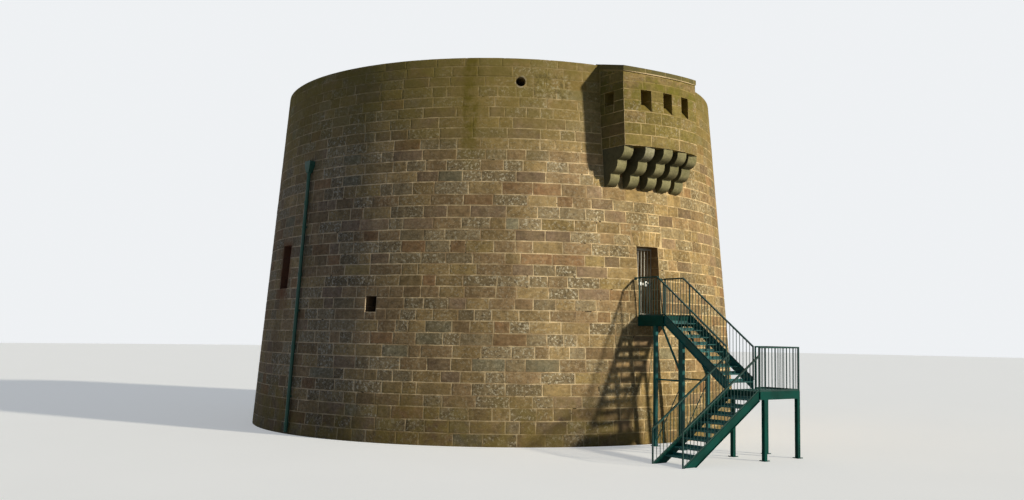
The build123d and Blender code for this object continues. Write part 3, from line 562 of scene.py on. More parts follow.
def outside_of_box(finish):
    """1 on the box's curved front (distance from the box's own axis + its lean) and on its flat sides."""
    sizes = bpy.context.scene.tower_sizes
    x, y, z = finish.axes()
    radius = finish.diagonal(x, finish.plus(y, sizes.box_axis))
    lean = finish.plus(radius, finish.times(finish.calc("SUBTRACT", z, sizes.box_foot), sizes.box_batter))
    front = finish.band(lean, sizes.box_curve - 0.016, sizes.box_curve - 0.006)
    side = finish.band(finish.size(x), sizes.box_half - 0.012, sizes.box_half - 0.004)
    return finish.larger(front, side)


# Stone laying


def on_circle(radius, azimuth, level):
    """Points (radius x sin azimuth, -radius x cos azimuth, level), as arrays."""
    return np.stack((radius * np.sin(azimuth), -radius * np.cos(azimuth), level), axis=-1)


def wall_place(azimuth, level, out):
    """Battered cone: radius = base radius - batter x level + out; azimuth grows from -Y towards +X.
    The radius is held to the base radius, so that the lowest course stays over the tower's base."""
    radius = np.minimum(wall_radius(level) + out, bpy.context.scene.tower_sizes.base_radius)
    return on_circle(radius, azimuth, level)


def top_place(azimuth, inwards, out):
    """Parapet top: radius = outer edge - inwards, height = wall top + slope x inwards + out, held to the
    top of the CAD."""
    sizes = bpy.context.scene.tower_sizes
    level = np.minimum(sizes.wall_top + sizes.top_slope * inwards + out, cad_box[1][2])
    return on_circle(wall_radius(sizes.wall_top) - inwards, azimuth, level)


def box_ceiling(distance):
    """Height of the underside of the box's coping at a distance from the tower's axis."""
    sizes = bpy.context.scene.tower_sizes
    return sizes.wall_top + sizes.top_slope * (wall_radius(sizes.wall_top) - distance) - COPING_DEPTH


def box_front_place(across, level, out):
    """Curved front: the point at x on a circle about the box's own axis, whose radius shrinks with height.
    The height is held under the sloping coping."""
    sizes = bpy.context.scene.tower_sizes
    radius = sizes.box_curve - sizes.box_batter * (level - sizes.box_foot) + out
    distance = sizes.box_axis + np.sqrt(radius**2 - across**2)
    return np.stack((across, -distance, np.minimum(level, box_ceiling(distance))), axis=-1)


def box_side_place(side):
    """Flat side of the box: x = side x (half width + out), y = side x run, so that the run grows to the
    right of someone facing it."""

    def place(run, level, out):
        x = side * (bpy.context.scene.tower_sizes.box_half + out)
        return np.stack((x, side * run, np.minimum(level, box_ceiling(-side * run))), axis=-1)

    return place


def lay_stones(ends, metres, foot, head, gaps, rng, lengths):
    """Stones of one course as rows (left foot, right foot, left head, right head, foot, head), where left
    and right are counted in units that are so many metres long.

    Lengths are drawn between the shortest and the longest, then the joints move to the edges of each
    gap; a gap is (left, right, low, high), and a stone fills what the gap leaves of the course."""
    start, end = ends
    shortest, longest = lengths
    least_overlap, least_height = 0.03, 0.05
    whole = (end - start) * metres
    sums = np.cumsum(rng.uniform(shortest, longest, int(whole / shortest) + 2))
    count = max(1, int(np.searchsorted(sums, whole)))
    marks = start + (end - start) * np.concatenate(([0.0], sums[:count] / sums[count - 1]))
    room = 0.55 * shortest / metres
    met = [gap for gap in gaps if gap[2] < head - least_overlap and gap[3] > foot + least_overlap]
    for left, right, _, _ in met:
        marks = marks[(marks < left - room) | (marks > right + room)]
        marks = np.concatenate((marks, [v for v in (left, right) if start - 1e-9 <= v <= end + 1e-9]))
    marks = np.unique(np.concatenate((marks, [start, end])))
    stones = []
    for left, right in zip(marks[:-1], marks[1:]):
        spans = [(foot, head)]
        for gap_left, gap_right, low, high in met:
            if gap_left < (left + right) / 2 < gap_right:
                below, above = (foot, min(low, head)), (max(high, foot), head)
                spans = [span for span in (below, above) if span[1] - span[0] > least_height]
        stones += [(left, right, left, right, *span) for span in spans]
    return stones


def stone_mesh(name, stones, place, metres, seed, proud, arris, joint, kinds=None):
    """Stones on a surface, as one mesh.

    Every stone is a grid of 9 by 6 points in (s, t): s = fraction along, t = fraction up, with lines at
    the rim, at the worn edge and a little further in. Its relief is just below the surface at the rim,
    rises over the worn edge and is proud plus seeded unevenness within. place(u, v, out) puts the points
    on the surface, and one of u is so many metres. Each stone keeps three seeded values from 0 to 1, the
    first of which kinds may set."""
    rng = np.random.default_rng(seed)
    stones = np.array(stones, float)
    count = len(stones)
    rows, columns = 6, 9
    grid = (count, rows, columns)
    uneven, least_out, sunk = 0.0010, 0.0008, -0.003
    wander_along, wander_up = 0.0030, 0.0024
    half = joint / 2
    foot_left, foot_right, head_left, head_right, low, high = stones.T[:, :, None, None]
    low, high = low + half, high - half
    foot_left, head_left = foot_left + half / metres, head_left + half / metres
    foot_right, head_right = foot_right - half / metres, head_right - half / metres
    along = np.array([0.0, 0.0, 0.0, 0.25, 0.5, 0.75, 1.0, 1.0, 1.0])
    edges_along = np.array([0.0, 1.0, 3.0, 0.0, 0.0, 0.0, -3.0, -1.0, 0.0])
    up = np.array([0.0, 0.0, 0.0, 1.0, 1.0, 1.0])[:, None]
    edges_up = np.array([0.0, 1.0, 3.0, -3.0, -1.0, 0.0])[:, None]
    width = np.maximum((foot_right - foot_left) * metres, 0.05)
    height = np.maximum(high - low, 0.03)
    s = np.broadcast_to(along + edges_along * np.minimum(arris / width, 0.07), grid)
    t = np.broadcast_to(up + edges_up * np.minimum(arris / height, 0.12), grid)
    bottom = foot_left + s * (foot_right - foot_left)
    top = head_left + s * (head_right - head_left)
    u = bottom + t * (top - bottom)
    v = low + t * (high - low)
    ring = np.zeros((rows, columns))
    ring[1:-1, 1:-1] = 0.8
    ring[2:-2, 2:-2] = 1.0
    lift = rng.uniform(0.6, 1.15, count)[:, None, None] * proud
    rough = rng.normal(0.0, uneven, grid) * (ring > 0)
    out = np.where(ring > 0, np.maximum(ring * lift + rough, least_out), sunk)
    shift_u = rng.normal(0.0, wander_along, grid)
    shift_v = rng.normal(0.0, wander_up, grid)
    for line, rim in ((1, 0), (2, 0), (-2, -1), (-3, -1)):
        shift_u[:, :, line] = shift_u[:, :, rim]
        shift_v[:, line] = shift_v[:, rim]
    u = u + shift_u / metres
    v = np.maximum(v + shift_v, stones[:, 4][:, None, None] + 0.004)
    points = place(u, v, out).reshape(-1, 3)
    row, column = np.meshgrid(np.arange(rows - 1), np.arange(columns - 1), indexing="ij")
    corner = (row * columns + column).reshape(-1)
    quads = np.stack((corner, corner + 1, corner + columns + 1, corner + columns), axis=-1)
    faces = (quads[None] + rows * columns * np.arange(count)[:, None, None]).reshape(-1, 4)
    piece = sheet_mesh(name, (points, faces))
    values = rng.uniform(0.0, 1.0, (count, 3))
    if kinds is not None:
        values[:, 0] = np.where(np.isnan(kinds), values[:, 0], kinds)
    colours = np.ones((count, rows * columns, 4), np.float32)
    colours[:, :, :3] = values[:, None, :]
    attribute = piece.data.attributes.new("stone", "FLOAT_COLOR", "POINT")
    attribute.data.foreach_set("color", colours.reshape(-1))
    return piece


def sheet_mesh(name, shape, smooth=True):
    """Object from a shape: an array of points and an array of quads."""
    points, faces = shape
    mesh = bpy.data.meshes.new(name)
    mesh.from_pydata(points.tolist(), [], faces.tolist())
    mesh.polygons.foreach_set("use_smooth", np.full(len(mesh.polygons), smooth))
    mesh.update()
    piece = bpy.data.objects.new(name, mesh)
    bpy.context.scene.collection.objects.link(piece)
    return piece


def tube_mesh(rings):
    """Points and quads of a skin through rings, an array of (ring, point, 3), where each point joins the
    next in its ring and in the next ring; the ends are closed by rings drawn in beforehand."""
    count, size, _ = rings.shape
    row, column = np.meshgrid(np.arange(count - 1), np.arange(size), indexing="ij")
    here = row * size + column
    after = row * size + (column + 1) % size
    faces = np.stack((here, after, after + size, here + size), axis=-1).reshape(-1, 4)
    return rings.reshape(-1, 3), faces


def join_meshes(parts):
    """Points and quads of several meshes as one."""
    starts = np.cumsum([0] + [len(points) for points, _ in parts[:-1]])
    faces = [part[1] + start for part, start in zip(parts, starts)]
    return np.concatenate([points for points, _ in parts]), np.concatenate(faces)


def attach(piece, material, body=TOWER):
    """Give a piece its material, its material slot's name and the body it rides on."""
    piece.data.materials.append(material)
    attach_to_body(piece, body)


def paint(material, *names):
    """Give CAD nodes a material."""
    for name in names:
        materials = nodes[name].data.materials
        materials.clear()
        materials.append(material)


def wall_stone_material():
    """The wall stones' finish, made once."""
    return bpy.data.materials.get("wall_stone") or wall_stone_finish()


class TOWER_OT_wall_stones(bpy.types.Operator):
    """Lays the coursed stones of the battered wall around its door, windows and vent"""

    bl_idname = "tower.wall_stones"
    bl_label = "Wall stones"

    def gaps(self, sizes):
        """Openings as (left, right, low, high): azimuth -+ half width / radius, in radians and metres."""
        made = []
        for turn, half_width, low, high in (
            (0, 0.422, FLOOR_LEVEL, DOOR_HEAD),
            (0, 0.60, DOOR_HEAD, ARCH_HEAD),
            (LOOP_TURN, 0.18, FLOOR_LEVEL, 4.00),
            (-WINDOW_TURN, 0.32, 4.28, 5.62),
            (WINDOW_TURN, 0.32, 4.28, 5.62),
            (VENT_TURN, 0.15, 9.95, 10.23),
            (0, sizes.box_half + 0.005, sizes.box_foot, 11.0),
        ):
            wide = half_width / wall_radius((low + high) / 2)
            made.append((math.radians(turn) - wide, math.radians(turn) + wide, low, high))
        return made

    def arch(self):
        """Five tapered stones over the door: 1.00 m wide in all at the foot and 1.18 m at the head."""
        marks = np.arange(-2.5, 3.5) / 5 / wall_radius(DOOR_HEAD)
        return [
            (left * 1.00, right * 1.00, left * 1.18, right * 1.18, DOOR_HEAD, ARCH_HEAD)
            for left, right in zip(marks[:-1], marks[1:])
        ]

    def execute(self, context):
        sizes = context.scene.tower_sizes
        gaps = self.gaps(sizes)
        rng = np.random.default_rng(1812)
        stones = []
        for low, high in zip(COURSE_JOINTS[:-1], COURSE_JOINTS[1:]):
            metres = wall_radius((low + high) / 2)
            shift = rng.uniform(0.0, 0.8) / metres
            ends = (-math.pi - shift, math.pi - shift)
            stones += lay_stones(ends, metres, low, high, gaps, rng, (sizes.shortest, sizes.longest))
        stones = np.array(stones + self.arch())
        centre = np.degrees((stones[:, 0] + stones[:, 1]) / 2)
        foot, head = stones[:, 4], stones[:, 5]
        kinds = np.full(len(stones), np.nan)
        kinds[(np.abs(centre - LOOP_TURN) < 6.5) & (foot > 3.3) & (head < 4.3)] = 0.30
        kinds[(np.abs(centre) < 4.6) & (foot >= DOOR_HEAD - 0.01) & (head < 6.0)] = 0.78
        turn = np.where(centre < -180, centre + 360, centre)
        for name, start, end, seed in (
            ("front_left", -90, 0, 90), ("front_right", 0, 90, 90),
            ("rear_right", 90, 180, 270), ("rear_left", -180, -90, 90),
        ):
            chosen = (turn >= start) & (turn < end)
            piece = stone_mesh(
                f"wall_stones_{name}", stones[chosen], wall_place, 7.7, seed,
                sizes.proud, sizes.arris, sizes.joint, kinds[chosen],
            )
            attach(piece, wall_stone_material())
        return {"FINISHED"}


class TOWER_OT_parapet_slabs(bpy.types.Operator):
    """Lays the slabs on the parapet's sloping top"""

    bl_idname = "tower.parapet_slabs"
    bl_label = "Parapet slabs"

    def execute(self, context):
        sizes = context.scene.tower_sizes
        edge = wall_radius(sizes.wall_top)
        rng = np.random.default_rng(1804)
        stones = []
        rows = ((0.0, 0.62, 1.45), (0.62, 1.14, 0.455), (1.14, edge - sizes.well_radius, 0.455))
        for low, high, half_gap in rows:
            metres = edge - (low + high) / 2
            wide = math.asin(half_gap / metres)
            gaps = [(-wide, wide, low - 1, high + 1)]
            stones += lay_stones((-math.pi, math.pi), metres, low, high, gaps, rng, (0.7, 1.35))
        piece = stone_mesh("parapet_slabs", stones, top_place, 6.5, 7, 0.007, 0.016, 0.022)
        attach(piece, wall_stone_material())
        return {"FINISHED"}


class TOWER_OT_box_stones(bpy.types.Operator):
    """Lays the stones of the machicolation's curved front and of its two sides"""

    bl_idname = "tower.box_stones"
    bl_label = "Machicolation stones"

    def execute(self, context):
        sizes = context.scene.tower_sizes
        half = sizes.box_half
        rng = np.random.default_rng(61)
        slots = [(place - 0.17, place + 0.17, 9.27, 9.89) for place in (-0.75, 0.0, 0.75)]
        left_hole, right_hole = [(7.40, 7.80, 9.50, 9.89)], [(-7.80, -7.40, 9.50, 9.89)]
        wall, corner = 7.2, sizes.box_axis + math.sqrt(sizes.box_curve**2 - half**2)
        front_top = box_ceiling(8.3) - 0.06
        front, left, right = [], [], []
        for low, high in zip(BOX_JOINTS[:-1], BOX_JOINTS[1:]):
            face = corner - sizes.box_batter * ((low + high) / 2 - sizes.box_foot)
            if low < front_top:
                front += lay_stones((-half, half), 1.0, low, high, slots, rng, (0.45, 0.95))
            left += lay_stones((wall, face), 1.0, low, high, left_hole, rng, (0.35, 0.75))
            right += lay_stones((-face, -wall), 1.0, low, high, right_hole, rng, (0.35, 0.75))
        material = box_stone_finish()
        for name, stones, place, seed in (
            ("box_stones_front", front, box_front_place, 5),
            ("box_stones_left", left, box_side_place(-1), 6),
            ("box_stones_right", right, box_side_place(1), 8),
        ):
            attach(stone_mesh(name, stones, place, 1.0, seed, 0.006, 0.008, 0.014), material)
        return {"FINISHED"}


def corbel_finish():
    """Dressed corbel stone, pale green-grey, with tones about as large as a stone; the cheeks between the
    stones and the faces that look down are dark with damp, and the second stone from the left in the
    upper tier is bleached."""
    finish = Finish("corbel_stone")
    x, _, z = finish.axes()
    across, _, upward = finish.facing()
    stone = finish.noise(1.1, 1.0, finish.stretched((1.6, 0.2, 2.6)))
    blotch = finish.noise(6.0, 5.0, roughness=0.7)
    grain = finish.noise(60.0, 3.0)
    pits = finish.noise(18.0, 4.0)
    base = finish.shade(tint("corbel"), finish.band(stone, 0.3, 0.7, 0.76, 1.26))
    base = finish.mix(finish.times(finish.band(blotch, 0.48, 0.64), 0.5), base, CORBEL_BLOTCH)
    bleached = finish.times(
        finish.fade(finish.apart(x, -0.62), 0.165, 0.175),
        finish.band(z, 7.918, 7.922),
        finish.band(blotch, 0.35, 0.6, 0.85, 0.35),
    )
    base = finish.mix(bleached, base, CORBEL_BLEACHED)
    base = finish.shade(base, finish.band(pits, 0.3, 0.7, 0.85, 1.12))
    cheek = finish.times(finish.band(finish.size(across), 0.6, 0.9), 0.72)
    under = finish.times(finish.fade(upward, -0.95, -0.45), 0.6)
    base = finish.mix(finish.larger(cheek, under), base, CORBEL_DAMP)
    finish.relief(pits, 0.010)
    finish.relief(grain, 0.003)
    return finish.done(base, 0.88)


def coping_finish():
    """Coping stone: olive-tan under dark grey-green moss, with a joint every 0.68 m across and a bed of
    mortar under its edge. Depth below the top = wall top + slope x (outer edge - radius) - height."""
    sizes = bpy.context.scene.tower_sizes
    finish = Finish("coping_stone")
    x = finish.axes()[0]
    _, radius, z = around(finish)
    blotch = finish.noise(3.5, 5.0, roughness=0.65)
    grain = finish.noise(50.0, 3.0)
    base = finish.mix(finish.band(blotch, 0.34, 0.56, 0.35, 0.95), tint("box"), tint("moss"))
    base = finish.shade(base, finish.band(grain, 0.3, 0.7, 0.85, 1.15))
    seam = finish.fade(finish.calc("PINGPONG", finish.plus(x, 0.1), 0.34), 0.004, 0.012)
    base = finish.mix(finish.times(seam, 0.55), base, tint("pointing", 0.7))
    inwards = finish.calc("SUBTRACT", wall_radius(sizes.wall_top), radius)
    top = finish.plus(finish.times(inwards, sizes.top_slope), sizes.wall_top)
    bed = finish.times(
        finish.band(finish.calc("SUBTRACT", top, z), 0.112, 0.122),
        finish.band(finish.noise(1.7, 3.0), 0.3, 0.5, 0.4, 0.95),
    )
    base = finish.mix(bed, base, tint("pointing"))
    finish.relief(blotch, 0.010)
    finish.relief(grain, 0.003)
    return finish.done(base, 0.9)


def platform_finish():
    """Vault: flagged gun platform above, limewash below; flags are 0.95 by 0.62 m on (x, y)."""
    finish = Finish("platform_stone")
    x, y, z = finish.axes()
    patch = finish.noise(1.6, 5.0)
    grain = finish.noise(45.0, 3.0)
    colours = (FLAGSTONE, DARK_FLAGSTONE, FLAG_JOINT)
    flags, seams = finish.courses(x, y, 0.95, 0.62, 0.010, 0.3, colours)
    flags = finish.shade(flags, finish.band(patch, 0.25, 0.75, 0.65, 1.25))
    flags = finish.mix(finish.times(finish.band(patch, 0.52, 0.68), 0.5), flags, tint("algae"))
    wash = finish.shade(tint("limewash"), finish.band(patch, 0.25, 0.75, 0.75, 1.1))
    finish.relief(seams, -0.008)
    finish.relief(grain, 0.003)
    return finish.done(finish.mix(finish.band(z, 8.30, 8.36), wash, flags), 0.9)


def timber_finish():
    """Old boards along Y: 0.18 m wide boards with dark gaps, grain stretched along them."""
    finish = Finish("floor_timber", specular=0.3)
    x = finish.axes()[0]
    gap = finish.fade(finish.calc("PINGPONG", x, 0.09), 0.0, 0.004)
    board = finish.noise(1.0, 0.0, finish.vector(finish.calc("FLOOR", finish.calc("DIVIDE", x, 0.18)), 3.3))
    grain = finish.noise(8.0, 5.0, finish.stretched((9.0, 0.6, 9.0)))
    base = finish.shade(tint("timber"), finish.band(board, 0.3, 0.7, 0.7, 1.3))
    base = finish.shade(base, finish.band(grain, 0.3, 0.7, 0.75, 1.2))
    base = finish.mix(gap, base, BOARD_GAP)
    finish.relief(grain, 0.002)
    finish.relief(gap, -0.006)
    return finish.done(base, 0.75)


def painted_steel(name, colour, gloss=0.42, wear=0.5, specular=0.3):
    """Brushed-on paint: uneven gloss, faded patches, and small chips with rust in them."""
    finish = Finish(name, specular=specular)
    patch = finish.noise(2.3, 4.0)
    base = finish.shade(colour, finish.band(patch, 0.25, 0.75, 0.75, 1.35))
    faded = tuple(0.95 * v + 0.006 for v in colour)
    base = finish.mix(finish.times(finish.band(finish.noise(7.0, 5.0), 0.52, 0.70), 0.5), base, faded)
    chips = finish.times(finish.band(finish.noise(22.0, 6.0, roughness=0.75), 0.66, 0.70), wear)
    base = finish.mix(chips, base, RUST)
    finish.relief(finish.noise(38.0, 4.0), 0.0012)
    finish.relief(chips, -0.001)
    return finish.done(base, finish.band(patch, 0.25, 0.75, gloss - 0.08, gloss + 0.18))


def tread_finish():
    """Tread plate: paint worn to bare grey in patches, with raised lozenges 28 mm apart as bump. The
    lozenges stand at the nearest points of a square grid of 40 mm on (x + y, x - y)."""
    finish = Finish("tread_paint", specular=0.5)
    x, y, _ = finish.axes()
    lozenge = finish.cells(25.0, finish.vector(finish.plus(x, y), finish.calc("SUBTRACT", x, y)), 0.0)
    patch = finish.noise(3.0, 4.0)
    base = finish.shade(tint("steel"), finish.band(patch, 0.3, 0.7, 0.7, 1.5))
    worn = finish.times(finish.band(lozenge, 0.25, 0.12), finish.band(patch, 0.40, 0.62), 0.5)
    base = finish.mix(worn, base, BARE_TREAD)
    finish.relief(finish.band(lozenge, 0.32, 0.18), 0.002)
    return finish.done(base, 0.5)


def lock_finish():
    """Galvanised lock and latch cases: bright, with a spangle."""
    finish = Finish("lock_metal", metallic=0.85, specular=0.5)
    spangle = finish.cells(60.0)
    base = finish.shade(ZINC, finish.band(spangle, 0.0, 0.6, 0.80, 1.08))
    finish.relief(finish.noise(90.0, 2.0), 0.0008)
    return finish.done(base, finish.band(spangle, 0.0, 0.6, 0.30, 0.46))


class TOWER_OT_stone_finishes(bpy.types.Operator):
    """Finishes the masonry, corbels, coping, vault, banquette and timber floor"""

    bl_idname = "tower.stone_finishes"
    bl_label = "Stone and timber finishes"

    def execute(self, context):
        walls = ("wall_", "parapet_", "door_", "window_", "passage_", "banquette")
        masonry = masonry_finish("masonry", "brown", outside_of_wall)
        paint(masonry, *[name for name in nodes if name.startswith(walls)])
        box = masonry_finish("box_masonry", "box", outside_of_box)
        paint(box, "machicolation_base", "machicolation_piers", "machicolation_head")
        paint(corbel_finish(), "corbels_lower", "corbels_middle", "corbels_upper")
        paint(coping_finish(), "machicolation_coping")
        paint(platform_finish(), "vault_1", "vault_2", "vault_3", "vault_4")
        paint(timber_finish(), "floor_boards", "floor_joists")
        return {"FINISHED"}


# Fittings


def circles(directions, count):
    """Directions of unit length, and for each a ring of count points: side x cos(turn) + other x
    sin(turn), where side and other are square to the direction and to each other."""
    directions = np.asarray(directions, float).reshape(-1, 3)
    directions = directions / np.linalg.norm(directions, axis=1, keepdims=True)
    helper = np.where(np.abs(directions[:, 2:]) > 0.9, (1.0, 0.0, 0.0), (0.0, 0.0, 1.0))
    side = np.cross(helper, directions)
    side /= np.linalg.norm(side, axis=1, keepdims=True)
    other = np.cross(directions, side)
    turn = np.linspace(0.0, 2 * math.pi, count, endpoint=False)[:, None]
    return directions, side[:, None] * np.cos(turn) + other[:, None] * np.sin(turn)


def bolt_heads(places, normals, radius, height):
    """Domed hexagon heads: rings of 6 points about each normal, at radius r x (1, 1, 0.8, 0.02) and
    heights h x (-0.3, 0.75, 1, 1.05)."""
    normals, ring = circles(normals, 6)
    spread = np.array([1.0, 1.0, 0.8, 0.02])[:, None, None] * radius
    rise = np.array([-0.3, 0.75, 1.0, 1.05])[:, None, None] * height
    heads = np.array(places)[:, None, None] + ring[:, None] * spread + normals[:, None, None] * rise
    return join_meshes([tube_mesh(head) for head in heads])


def rounded_case(centre, size, power=0.15):
    """Superellipsoid: x = a c(v) c(u), y = b c(v) s(u), z = h s(v), where c and s are the cosine and the
    sine raised to a small power with their sign kept; the poles are drawn in to points."""
    turn = np.linspace(-math.pi, math.pi, 32, endpoint=False)
    rise = np.linspace(-math.pi / 2, math.pi / 2, 17)[:, None]

    def raised(value):
        return np.sign(value) * np.abs(value) ** power

    flat = raised(np.cos(rise))
    level = np.broadcast_to(raised(np.sin(rise)), (17, 32))
    shape = np.stack((flat * raised(np.cos(turn)), flat * raised(np.sin(turn)), level), axis=-1)
    return tube_mesh(shape * np.array(size) / 2 + np.array(centre))


def collar(centre, axis, radius, profile):
    """Ring of 32 points turned about an axis: the profile gives (out, along) offsets from the radius and
    the centre."""
    directions, ring = circles(axis, 32)
    out, along = np.array(profile, float).T[:, :, None, None]
    return tube_mesh(np.array(centre) + ring * (radius + out) + directions * along)


def bar(path, radius):
    """Round bar along a path: 16 points about each place, with rings drawn in to points at both ends."""
    path = np.asarray(path, float)
    _, ring = circles(np.gradient(path, axis=0), 16)
    closing = path[:, None] + ring * 1e-4
    return tube_mesh(np.concatenate((closing[:1], path[:, None] + ring * radius, closing[-1:])))


class TOWER_OT_stair(bpy.types.Operator):
    """Paints the steel stair and adds its bolts and the handrails' ends at the wall"""

    bl_idname = "tower.stair"
    bl_label = "Steel stair"

    def bolts(self):
        """Four bolts in each base plate, and two in each stringer beside each of the nine upper treads."""
        plate, inset, plate_top = 0.095, 0.022, 0.012
        across_post, across_stringer = 0.4775, 0.4875
        flight, going, riser = 8.89, 0.255, FLOOR_LEVEL / 19
        low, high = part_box("half_landing_legs")
        feet = [(x, -distance) for x in (-across_post, across_post) for distance in (8.55, 9.585)]
        feet += [(x, y) for x in (low.x + plate, high.x - plate) for y in (low.y + plate, high.y - plate)]
        reach = plate - inset
        places = [
            (x + i * reach, y + j * reach, plate_top) for x, y in feet for i in (-1, 1) for j in (-1, 1)
        ]
        normals = [(0, 0, 1)] * len(places)
        for side in (-1, 1):
            for step in range(1, 10):
                for before in (0.05, 0.17):
                    distance = flight + going * step - before
                    places.append((side * across_stringer, -distance, FLOOR_LEVEL - riser * step - 0.015))
                    normals.append((side, 0, 0))
        return bolt_heads(places, normals, 0.013, 0.011)

    def returns(self):
        """A bar from each handrail's end to a round plate on the wall."""
        disc = ((-0.030, 0.0), (0.0, 0.0), (0.0, 0.008), (-0.030, 0.009))
        parts = []
        for x in (-0.5, 0.5):
            path = ((x, -7.90, 4.640), (x, -7.86, 4.638), (x, -7.79, 4.630), (x, -7.744, 4.622))
            parts += [bar(path, 0.018), collar((x, -7.742, 4.622), (0, -1, 0.08), 0.046, disc)]
        return join_meshes(parts)

    def execute(self, context):
        steel = painted_steel("stair_paint", tint("steel"))
        paint(steel, "upper_stringers", "landing_posts", "post_braces")
        decks = painted_steel("landing_paint", tint("decks"), 0.5, 0.3, 0.10)
        paint(decks, "landing", "half_landing", "lower_stringers", "half_landing_legs", "half_landing_guard")
        rails = painted_steel("rail_paint", tint("rails"), 0.5)
        paint(rails, "upper_guard_left", "upper_guard_right", "lower_guard_far", "lower_guard_near")
        paint(tread_finish(), "upper_treads", "lower_treads")
        attach(sheet_mesh("stair_bolts", self.bolts(), smooth=False), steel)
        attach(sheet_mesh("handrail_returns", self.returns()), rails)
        return {"FINISHED"}


class TOWER_OT_gate(bpy.types.Operator):
    """Paints the barred gate and adds its galvanised lock and latch cases and a knob"""

    bl_idname = "tower.gate"
    bl_label = "Barred gate"

    def execute(self, context):
        iron = painted_steel("gate_iron", tint("iron"), 0.36, 0.6)
        paint(iron, "gate", "gate_hinges")
        lock = rounded_case((0.2425, -7.37, 4.50), (0.120, 0.070, 0.160))
        latch = rounded_case((0.0225, -7.37, 4.50), (0.090, 0.066, 0.100))
        attach(sheet_mesh("gate_lock_cases", join_meshes([lock, latch])), lock_finish(), "gate")
        profile = (
            (-0.020, 0.0), (0.0, 0.0), (0.002, 0.010), (-0.006, 0.016),
            (-0.004, 0.024), (0.006, 0.034), (0.004, 0.046), (-0.018, 0.050),
        )
        knob = collar((0.2425, -7.405, 4.53), (0, -1, 0), 0.022, profile)
        attach(sheet_mesh("gate_lock_knob", knob), iron, "gate")
        return {"FINISHED"}


class TOWER_OT_rainwater_pipe(bpy.types.Operator):
    """Paints the rainwater pipe and adds its socket collars"""

    bl_idname = "tower.rainwater_pipe"
    bl_label = "Rainwater pipe"

    def execute(self, context):
        green = painted_steel("pipe_paint", tint("pipe"), 0.45, 0.9)
        paint(green, "downpipe", "pipe_brackets", "rainwater_head")
        foot, top = np.array((-8.1361, -1.1724, 0.06)), np.array((-7.5407, -0.9125, 7.75))
        profile = (
            (-0.004, -0.060), (0.010, -0.058), (0.012, -0.050), (0.009, -0.040),
            (0.009, 0.030), (0.014, 0.036), (0.014, 0.050), (-0.004, 0.056),
        )
        shares = (0.03, 0.32, 0.60, 0.88)
        sockets = [collar(foot + (top - foot) * share, top - foot, 0.055, profile) for share in shares]
        attach(sheet_mesh("pipe_sockets", join_meshes(sockets)), green)
        return {"FINISHED"}


# Stage


def background_rays(tree):
    """1 on the rays that show the background: the camera's own, mirrored ones and those through glass."""
    path = tree.nodes.new("ShaderNodeLightPath")
    shown = path.outputs["Is Camera Ray"]
    for name in ("Is Glossy Ray", "Is Transmission Ray"):
        either = tree.nodes.new("ShaderNodeMath")
        either.operation = "MAXIMUM"
        tree.links.new(shown, either.inputs[0])
        tree.links.new(path.outputs[name], either.inputs[1])
        shown = either.outputs[0]
    return shown


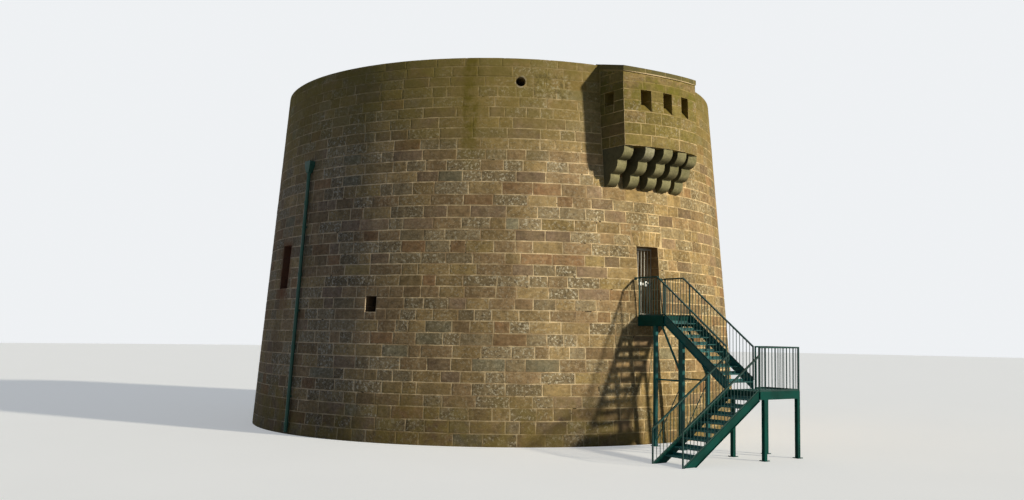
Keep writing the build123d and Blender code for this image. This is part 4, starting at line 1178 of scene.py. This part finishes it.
class TOWER_OT_stage(bpy.types.Operator):
    """Puts the camera, the soft lights and the plain pale floor in place"""

    bl_idname = "tower.stage"
    bl_label = "Stage"

    def camera(self, scene, view):
        """Camera that looks along its heading, lifted and rolled: -Z forward, X right, Y up."""
        flat = math.cos(view.lift)
        forward = Vector((math.sin(view.heading) * flat, math.cos(view.heading) * flat, math.sin(view.lift)))
        level = forward.cross(Vector((0, 0, 1))).normalized()
        right = level * math.cos(view.roll) + level.cross(forward) * math.sin(view.roll)
        turned = Matrix((right, right.cross(forward), -forward)).transposed()
        camera = bpy.data.objects.new("camera", bpy.data.cameras.new("camera"))
        camera.data.lens = view.lens
        camera.data.sensor_width = 36.0
        camera.data.clip_end = 500.0
        camera.matrix_world = Matrix.Translation(Vector(view.eye)) @ turned.to_4x4()
        scene.collection.objects.link(camera)
        scene.camera = camera

    def lamps(self, scene, view):
        """One soft, distant key light, and a world that lights from all round and is seen as pale."""
        lamp = bpy.data.lights.new("key", "SUN")
        lamp.energy = view.key
        lamp.angle = math.radians(3.0)
        lamp.color = WARM_KEY
        light = bpy.data.objects.new("key", lamp)
        toward = Vector((math.sin(view.key_turn), -math.cos(view.key_turn), math.tan(view.key_lift)))
        light.rotation_euler = toward.to_track_quat("Z", "Y").to_euler()
        scene.collection.objects.link(light)
        scene.world = bpy.data.worlds.new("studio")
        scene.world.use_nodes = True
        tree = scene.world.node_tree
        tree.nodes.clear()
        mixer = tree.nodes.new("ShaderNodeMixShader")
        tree.links.new(background_rays(tree), mixer.inputs[0])
        for index, (colour, strength) in enumerate(((SOFT_FILL, view.fill), (BACKDROP, 1.0)), 1):
            background = tree.nodes.new("ShaderNodeBackground")
            background.inputs["Color"].default_value = (*colour, 1.0)
            background.inputs["Strength"].default_value = strength
            tree.links.new(background.outputs[0], mixer.inputs[index])
        output = tree.nodes.new("ShaderNodeOutputWorld")
        tree.links.new(mixer.outputs[0], output.inputs["Surface"])

    def floor(self):
        """Disc of four rings of 64 points at (radius x cos turn, radius x sin turn), 160 m in radius and
        2 mm below the tower's foot. Where it is seen it is paler than what it reflects on to the tower,
        and it glows a little; it keeps the tower's shadow."""
        turn = np.linspace(0.0, 2 * math.pi, 64, endpoint=False)
        radius = np.array([0.0, 14.0, 40.0, 160.0])[:, None]
        level = np.full((4, 64), -0.002)
        rings = np.stack((radius * np.cos(turn), radius * np.sin(turn), level), axis=-1)
        floor = sheet_mesh("floor", tube_mesh(rings))
        finish = Finish("stage_floor")
        seen = background_rays(finish.tree)
        pale = finish.shade(tint("floor"), finish.band(finish.noise(0.3, 2.0), 0.2, 0.8, 0.98, 1.02))
        finish.feed(finish.shader.inputs["Emission Color"], FLOOR_GLOW)
        finish.feed(finish.shader.inputs["Emission Strength"], finish.times(seen, 0.34))
        floor.data.materials.append(finish.done(finish.mix(seen, FLOOR_BOUNCE, pale), 0.9))

    def execute(self, context):
        scene = context.scene
        self.camera(scene, scene.tower_view)
        self.lamps(scene, scene.tower_view)
        self.floor()
        scene.view_settings.view_transform = "Standard"
        return {"FINISHED"}


class TOWER_PT_panel(bpy.types.Panel):
    """Lists the tower's pieces in the order they are made"""

    bl_idname = "TOWER_PT_panel"
    bl_label = "Tower"
    bl_space_type = "VIEW_3D"
    bl_region_type = "UI"
    bl_category = "Tower"

    def draw(self, context):
        for operator in OPERATORS:
            self.layout.operator(operator.bl_idname)


OPERATORS = (
    TOWER_OT_stone_finishes,
    TOWER_OT_wall_stones,
    TOWER_OT_parapet_slabs,
    TOWER_OT_box_stones,
    TOWER_OT_stair,
    TOWER_OT_gate,
    TOWER_OT_rainwater_pipe,
    TOWER_OT_stage,
)
GROUPS = {"tower_sizes": TowerSizes, "tower_colours": TowerColours, "tower_view": TowerView}


def register():
    """Make the properties, the operators and the panel known to Blender."""
    for name, group in GROUPS.items():
        bpy.utils.register_class(group)
        setattr(bpy.types.Scene, name, bpy.props.PointerProperty(type=group))
    for item in (*OPERATORS, TOWER_PT_panel):
        bpy.utils.register_class(item)


def unregister():
    """Take back what register made known."""
    for item in (TOWER_PT_panel, *reversed(OPERATORS)):
        bpy.utils.unregister_class(item)
    for name, group in GROUPS.items():
        delattr(bpy.types.Scene, name)
        bpy.utils.unregister_class(group)


def main():
    """Make every piece in order, then note the sizes before and after."""
    register()
    for operator in OPERATORS:
        group, name = operator.bl_idname.split(".")
        getattr(getattr(bpy.ops, group), name)()


if __name__ == "__main__":
    main()
